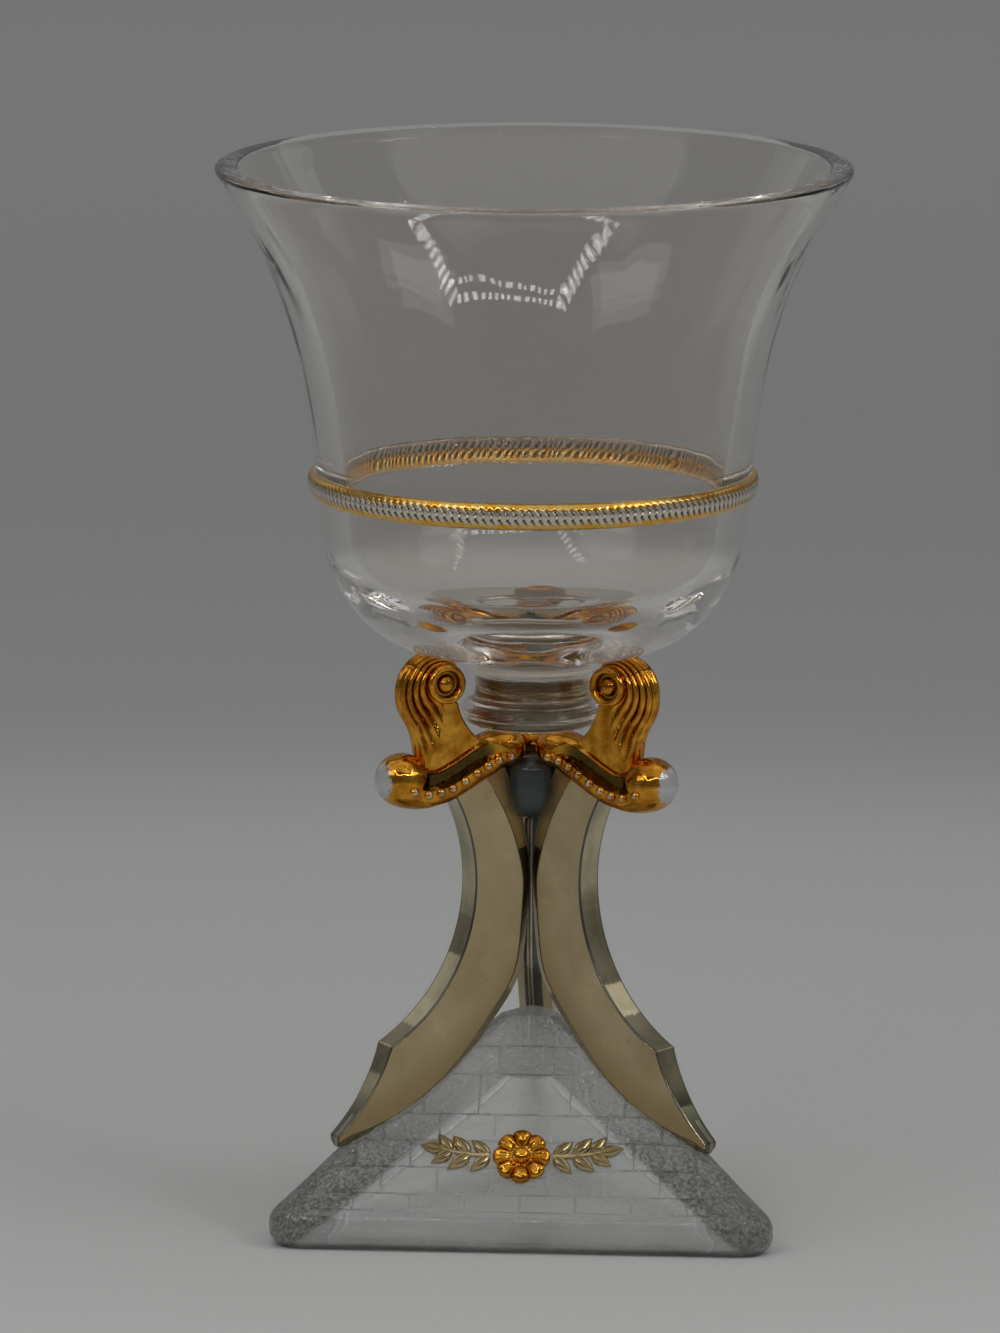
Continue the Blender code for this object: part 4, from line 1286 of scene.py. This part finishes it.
def triangle_ring(side, corner, height, steps=8):
    """Level three-sided outline with round corners under the three sabres."""
    corner = min(corner, 0.6 * side)
    ring = []
    for direction in (90 * DEG, 210 * DEG, 330 * DEG):
        center = 2 * (side - corner) * Vector((math.cos(direction), math.sin(direction)))
        for p in arc(center, corner, direction - 60 * DEG, direction + 60 * DEG, steps):
            ring.append((p.x, p.y, height))
    return ring


# Joints between courses, and cuts in the upright edge where its stipple ends, in millimetres
COURSES = (6.6, 9.4, 12.2, 15.0, 19.2, 22.2)
EDGE_CUTS = (24.5, 21.5, 17.0)

# The course that holds the smooth panel
PANEL_COURSE = 4


def foot_skin(foot):
    """Hollow, underside, upright edge and faces of the foot, from the top of the hollow to its own top."""
    thickness = foot.wall / math.sin(foot.slope)
    hollow_top = face_height(foot, foot.hollow_top_side + thickness)
    rings = []
    for k in range(7):
        height = mix(hollow_top, foot.hollow_lip, k / 6)
        rings.append(triangle_ring(face_side(foot, height) - thickness, foot.hollow_corner, height))
    opening = face_side(foot, 0) - thickness + foot.hollow_chamfer
    rings.append(triangle_ring(opening, foot.hollow_corner, 0))
    for k in range(7):
        bow = 15 * DEG * k
        inset = foot.edge_round * (1 - math.sin(bow))
        height = foot.edge_round * (1 - math.cos(bow))
        rings.append(triangle_ring(foot.side - inset, foot.corner_radius - inset, height))
    edge_top = face_height(foot, foot.side)
    center = edge_top - foot.brow_round * math.tan(45 * DEG - foot.slope / 2)
    for k in range(7):
        bow = (90 * DEG - foot.slope) * k / 6
        inset = foot.brow_round * (1 - math.cos(bow))
        height = center + foot.brow_round * math.sin(bow)
        rings.append(triangle_ring(foot.side - inset, foot.corner_radius, height))
    heights = [edge_top + foot.brow_gap] + [h * MM for h in COURSES] + [face_height(foot, foot.top_side)]
    for height in heights:
        side = face_side(foot, height)
        way = (foot.side - side) / (foot.side - foot.top_side)
        rings.append(triangle_ring(side, mix(foot.corner_radius, foot.ridge_radius, ease(2 * way)), height))
    return skin("dressed_foot", rings), heights


def lay_bricks(foot, piece, heights):
    """Cut the courses of the three faces into bricks and raise them over their joints."""
    activate(piece)
    bpy.ops.object.mode_set(mode="EDIT")
    normals = {a: Vector((math.sin(foot.slope) * math.cos(a), math.sin(foot.slope) * math.sin(a),
                          math.cos(foot.slope))) for a in FOOT_FACES}

    def on_face(face, direction, low, high):
        """Whether a face is part of one sloping side of the foot between two heights."""
        flat = face.normal.dot(normals[direction]) > 0.9995
        return flat and low < face.calc_center_median().z < high

    def under_bricks(face, direction):
        """Whether a face is part of the upright edge under one side of the foot."""
        middle = face.calc_center_median()
        side = Vector((math.cos(direction), math.sin(direction), 0))
        return middle.z < heights[0] and middle.dot(side) > 0 and face.normal.dot(side) > 0.1

    for direction in FOOT_FACES:
        along = Vector((-math.sin(direction), math.cos(direction), 0))
        for cut in EDGE_CUTS:
            for way in (-1, 1):
                pick_faces(piece, lambda face: under_bricks(face, direction))
                bpy.ops.mesh.bisect(plane_co=way * cut * MM * along, plane_no=along, threshold=WELD)
        for course, (low, high) in enumerate(zip(heights, heights[1:])):
            reach = face_side(foot, low) * math.tan(60 * DEG)
            if course == PANEL_COURSE:
                joints = [foot.panel / 2 + k * foot.brick for k in range(3)]
                joints += [-j for j in joints]
            else:
                shift = 0.5 if course % 2 else 0.0
                joints = [(k + shift) * foot.brick for k in range(-6, 7)]
            for joint in joints:
                if abs(joint) > reach - foot.least_brick:
                    continue
                pick_faces(piece, lambda face: on_face(face, direction, low, high))
                bpy.ops.mesh.bisect(plane_co=joint * along, plane_no=along, threshold=WELD)
    pick_faces(piece, lambda face: any(on_face(face, a, heights[0], heights[-1]) for a in FOOT_FACES))
    bpy.ops.mesh.inset(thickness=foot.joint, depth=foot.relief, use_individual=True)
    close_piece(25 * DEG)


def past_clear(foot, vertex):
    """How far a vertex lies outside the clear middle of its face; far below 0 in the hollow."""
    place = vertex.co
    if vertex.normal.dot((place.x, place.y, 0)) < 0:
        return -foot.clear_apex
    direction = max(FOOT_FACES, key=lambda a: place.x * math.cos(a) + place.y * math.sin(a))
    along = abs(place.y * math.cos(direction) - place.x * math.sin(direction))
    half = max(foot.clear_foot * (1 - place.z / foot.clear_apex), foot.panel / 2)
    return max(along - half, place.z - COURSES[PANEL_COURSE] * MM)


def base_shade(foot, vertex):
    """Painted shade: 1 just over the floor, on the edge and in the hollow, where the glass is darkened as
    shade, and 0 elsewhere.
    """
    return float(0.02 < vertex.co.z / foot.edge_round < 0.4)


class GOBLET_OT_foot(bpy.types.Operator):
    """Loft the hollow foot and lay the bricks of its faces"""
    bl_idname = "goblet.foot"
    bl_label = "Foot"

    def execute(self, context):
        foot = context.scene.goblet.foot
        piece, heights = foot_skin(foot)
        lay_bricks(foot, piece, heights)
        note(piece, "stippled", lambda vertex: past_clear(foot, vertex))
        note(piece, "base", lambda vertex: base_shade(foot, vertex))
        paint(piece, ["foot_glass"])
        settle(piece, "foot")
        return {"FINISHED"}


# Ornament on the front face

def petal_level(size, petal):
    """Height of a petal, as a share of the depth, at a share of the radius; petal is 1 along its middle."""
    crown = math.sin(math.pi * min(1, (1.02 - size) / 0.62)) ** 0.6
    vein = 0.16 * bump((1 - petal) * 9 - 0.2) * crown
    return 0.3 + 0.45 * crown * petal ** 0.7 - vein


def rosette_skin(ornament):
    """Round of petals with raised rims about a boss."""
    points = 12 * ornament.petals
    border = [(1.0, 0.0), (1.0, 0.3)]
    petals = [(mix(0.97, 0.3, k / 10), None) for k in range(11)]
    boss = [(0.27, 0.55), (0.25, 0.8), (0.18, 0.95), (0.09, 1.0), (0.01, 1.02)]
    rings = []
    for size, level in border + petals + boss:
        ring = []
        for k in range(points):
            turn = 2 * math.pi * k / points
            petal = abs(math.cos(ornament.petals * turn / 2))
            scallop = 1 - 0.14 * (1 - petal ** 0.5) * ease((size - 0.3) / 0.5)
            radius = ornament.rosette_radius * size * scallop
            lift = petal_level(size, petal) if level is None else level
            ring.append((radius * math.cos(turn), radius * math.sin(turn), ornament.rosette_depth * lift))
        rings.append(ring)
    return skin("dressed_foot_rosette", rings)


def leaf_skin(length_, width, depth):
    """Pointed leaf with a sunk midrib, along +X on the XY plane."""
    steps, points = 14, 12
    rings = []
    for k in range(steps + 1):
        t = k / steps
        half = width / 2 * max(0.04, math.sin(math.pi * t ** 0.8) ** 0.85)
        crown = depth * max(0.08, math.sin(math.pi * t ** 0.8) ** 0.5)
        ring = []
        for j in range(points + 1):
            v = mix(-1, 1, j / points)
            lift = crown * (1 - v * v) ** 0.5 - 0.35 * crown * bump(v / 0.18)
            ring.append((length_ * t, half * v, lift))
        ring += [(length_ * t, half * v, -0.1 * depth) for v in (0.9, 0.0, -0.9)]
        rings.append(ring)
    return skin("leaf", rings)


def spray(ornament, side):
    """Stem with pairs of leaves that runs out from the rosette to one side (-1 or 1)."""
    start = ornament.rosette_radius + ornament.stem_gap

    def stem_point(t):
        reach = start + ornament.spray_length * t
        return Vector((side * reach, ornament.spray_rise * t * t, ornament.stem_lift))

    rings = []
    for k in range(21):
        center = stem_point(k / 20 * 0.8)
        radius = ornament.stem_radius * mix(1, 0.5, k / 20)
        rings.append([center + radius * Vector((0, math.cos(a), math.sin(a)))
                      for a in (2 * math.pi * j / 10 for j in range(10))])
    pieces = [skin("dressed_foot_spray_" + ("left" if side < 0 else "right"), rings)]
    leaf = leaf_skin(ornament.leaf_length, ornament.leaf_width, ornament.leaf_depth)
    places = [(t, turn, size) for t, size in ((0.0, 0.85), (0.27, 0.92), (0.52, 0.8)) for turn in (-42, 42)]
    places.append((0.62, 0, 0.85))
    for t, turn, size in places:
        tangent = stem_point(t + 0.02) - stem_point(t)
        heading = math.atan2(tangent.y, tangent.x) + turn * DEG
        pieces.append(copy_of(leaf, "leaf"))
        lay(pieces[-1], Matrix.Translation(stem_point(t) - Vector((0, 0, ornament.leaf_sink)))
            @ Matrix.Rotation(heading, 4, "Z") @ Matrix.Scale(size, 4))
    bpy.data.objects.remove(leaf)
    return join(pieces)


class GOBLET_OT_ornament(bpy.types.Operator):
    """Model the rosette and the two leaf sprays and lay them on the front face of the foot"""
    bl_idname = "goblet.ornament"
    bl_label = "Ornament"

    def execute(self, context):
        goblet = context.scene.goblet
        ornament, foot = goblet.ornament, goblet.foot
        outward = Vector((0, -math.sin(foot.slope), math.cos(foot.slope)))
        middle = Vector((0, -face_side(foot, ornament.height), ornament.height))
        front = Matrix.Translation(middle + foot.relief * outward) @ Matrix.Rotation(foot.slope, 4, "X")
        rosette = rosette_skin(ornament)
        note(rosette, "worn", lambda vertex: 0.0)
        note_hollow_shade(rosette)
        paint(rosette, ["fired_gold", "leaf_silver"], lambda face: int(face.normal.z < -0.5))
        lay(rosette, front)
        settle(rosette, "foot_rosette")
        for side, name in ((-1, "left"), (1, "right")):
            piece = spray(ornament, side)
            paint(piece, ["leaf_silver"])
            lay(piece, front)
            settle(piece, "foot_spray_" + name)
        return {"FINISHED"}


# Stage, in metres

FLOOR_SIZE, FLOOR_GAP = 8, 0.05 * MM
WORLD_COLOR = (0.12, 0.121, 0.122)
AIM = (0, 0, 0.1)
BOOTH_TURN = 19 * DEG
GLOW_REACH, GLOW_HEIGHT, GLOW_HALF = 0.35, 0.26, 0.12

# Start, end, width, target and radiance of the large soft lights
SOFT_LIGHTS = {
    "left_wall": ((-0.5, -0.6, 0.3), (-0.5, 0.3, 0.3), 0.6, AIM, 0.04),
    "right_wall": ((0.5, -0.6, 0.3), (0.5, 0.3, 0.3), 0.6, AIM, 0.04),
    "left_corner": ((-0.5, 0.26, 0.28), (-0.42, 0.5, 0.28), 0.28, AIM, 0.22),
    "right_corner": ((0.5, 0.22, 0.36), (0.45, 0.45, 0.36), 0.12, AIM, 0.4),
    "top_softbox": ((-2.4, -0.9, 2.4), (2.4, -0.9, 2.4), 3.0, (0, -0.9, 0), 0.48),
    "back_wall": ((-0.35, 0.315, 0.64), (0.35, 0.315, 0.64), 1.1, (0, 0, 0.64), 0.08),
}

CAMERA_RISE, CAMERA_TURN, CAMERA_ROLL = 10.0 * DEG, 4.5 * DEG, 0.2 * DEG
CAMERA_DISTANCE = 1.75
CAMERA_AIM = 63.5 * MM
CAMERA_SHIFT = (-3.85 * MM, 3.6 * MM)
CAMERA_LENS, CAMERA_SENSOR = 398.9, 36


def add_floor():
    """Pale paper a hair under the foot, so that the two faces don't coincide."""
    clear_selection()
    bpy.ops.mesh.primitive_grid_add(x_subdivisions=8, y_subdivisions=8, size=FLOOR_SIZE,
                                    location=(0, 0, -FLOOR_GAP))
    bpy.ops.object.transform_apply(location=True, rotation=True, scale=True)
    floor = bpy.context.object
    floor.name = floor.data.name = "floor"
    paint(floor, ["paper"])


def add_world(scene):
    """Dim grey all round."""
    world = bpy.data.worlds.new("studio")
    world.use_nodes = True
    world.node_tree.nodes["Background"].inputs["Color"].default_value = (*WORLD_COLOR, 1)
    scene.world = world


def strip_light(name, start, end, width, target, radiance):
    """Rectangular light from a start to an end point that faces a target."""
    start, end = Vector(start), Vector(end)
    middle = (start + end) / 2
    along = (end - start).normalized()
    back = middle - Vector(target)
    back = (back - back.dot(along) * along).normalized()
    clear_selection()
    bpy.ops.object.light_add(type="AREA", location=middle)
    lamp = bpy.context.object
    lamp.name = lamp.data.name = name
    lamp.data.shape = "RECTANGLE"
    lamp.data.size = (end - start).length
    lamp.data.size_y = width
    lamp.data.energy = radiance * math.pi * lamp.data.size * width
    lamp.rotation_euler = Matrix((along, back.cross(along), back)).transposed().to_euler()
    return lamp


def split_light(lamp, dots):
    """Let a light shine as a row of lamps along its length."""
    lamp.data.use_nodes = True
    nodes = Nodes(lamp.data.node_tree)
    place = nodes.add("NewGeometry").outputs["Parametric"]
    turns = nodes.calc("MULTIPLY", nodes.axis_of(place, "X"), 2 * math.pi * dots, clamped=False)
    wave = nodes.calc("SINE", turns, clamped=False)
    nodes.set("Strength", nodes.span(wave, -0.3, 0.3, 0.05, 1.6))


def add_lights():
    """A booth that stands askew, with three rows of lamps and two glows, and soft lights round it."""
    booth = Matrix.Rotation(BOOTH_TURN, 3, "Z")
    near_left, near_right = (booth @ Vector((x, -0.416, 0.30)) for x in (-0.25, 0.25))
    far_left, far_right = (booth @ Vector((x, -0.16, 0.40)) for x in (-0.28, 0.28))
    split_light(strip_light("front_bar", near_left, near_right, 0.014, AIM, 9.5), 15)
    split_light(strip_light("left_bar", near_left, far_left, 0.04, AIM, 5), 9)
    split_light(strip_light("right_bar", near_right, far_right, 0.04, AIM, 5), 9)
    for name, way in (("left_glow", -68 * DEG), ("right_glow", 51 * DEG)):
        middle = booth @ Vector((GLOW_REACH * math.sin(way), -GLOW_REACH * math.cos(way), GLOW_HEIGHT))
        half = booth @ Vector((GLOW_HALF * math.cos(way), GLOW_HALF * math.sin(way), 0))
        strip_light(name, middle - half, middle + half, 0.10, AIM, 1.3)
    for name, settings in SOFT_LIGHTS.items():
        strip_light(name, *settings)


def add_camera(scene):
    """Long lens at the photo's angle."""
    level = math.cos(CAMERA_RISE)
    back = Vector((math.sin(CAMERA_TURN) * level, -math.cos(CAMERA_TURN) * level, math.sin(CAMERA_RISE)))
    right = Vector((math.cos(CAMERA_TURN), math.sin(CAMERA_TURN), 0))
    up = back.cross(right)
    target = Vector((0, 0, CAMERA_AIM)) + CAMERA_SHIFT[0] * right + CAMERA_SHIFT[1] * up
    bpy.ops.object.camera_add(location=target + CAMERA_DISTANCE * back)
    camera = bpy.context.object
    roll = Matrix.Rotation(CAMERA_ROLL, 3, "Z")
    camera.rotation_euler = (Matrix((right, up, back)).transposed() @ roll).to_euler()
    camera.data.sensor_width = CAMERA_SENSOR
    camera.data.lens = CAMERA_LENS
    camera.data.clip_end = 20
    scene.camera = camera


class GOBLET_OT_stage(bpy.types.Operator):
    """Set up the floor, the lights and the camera"""
    bl_idname = "goblet.stage"
    bl_label = "Stage"

    def execute(self, context):
        scene = context.scene
        add_floor()
        add_world(scene)
        add_lights()
        add_camera(scene)
        scene.view_settings.view_transform = "Standard"
        scene.cycles.max_bounces = 32
        scene.cycles.glossy_bounces = 24
        scene.cycles.transmission_bounces = 32
        return {"FINISHED"}


class VIEW3D_PT_goblet(bpy.types.Panel):
    """Sizes and steps of the goblet"""
    bl_label = "Goblet"
    bl_category = "Goblet"
    bl_space_type = "VIEW_3D"
    bl_region_type = "UI"

    def draw(self, context):
        goblet = context.scene.goblet
        for operator in OPERATORS:
            self.layout.operator(operator.bl_idname)
        for name, group in PIECES.items():
            box = self.layout.box()
            box.label(text=name.capitalize())
            for key in group.__annotations__:
                box.prop(getattr(goblet, name), key)


OPERATORS = (GOBLET_OT_finishes, GOBLET_OT_bowl, GOBLET_OT_band, GOBLET_OT_blades, GOBLET_OT_guards,
             GOBLET_OT_grips, GOBLET_OT_foot, GOBLET_OT_ornament, GOBLET_OT_stage)
CLASSES = (*PIECES.values(), GobletSettings, *OPERATORS, VIEW3D_PT_goblet)


def register():
    for cls in CLASSES:
        bpy.utils.register_class(cls)
    bpy.types.Scene.goblet = PointerProperty(type=GobletSettings, name="Goblet")


def unregister():
    del bpy.types.Scene.goblet
    for cls in reversed(CLASSES):
        bpy.utils.unregister_class(cls)


def main():
    """Build the goblet and its stage."""
    register()
    bpy.ops.goblet.finishes()
    bpy.ops.goblet.bowl()
    bpy.ops.goblet.band()
    bpy.ops.goblet.blades()
    bpy.ops.goblet.guards()
    bpy.ops.goblet.grips()
    bpy.ops.goblet.foot()
    bpy.ops.goblet.ornament()
    bpy.ops.goblet.stage()


if __name__ == "__main__":
    main()
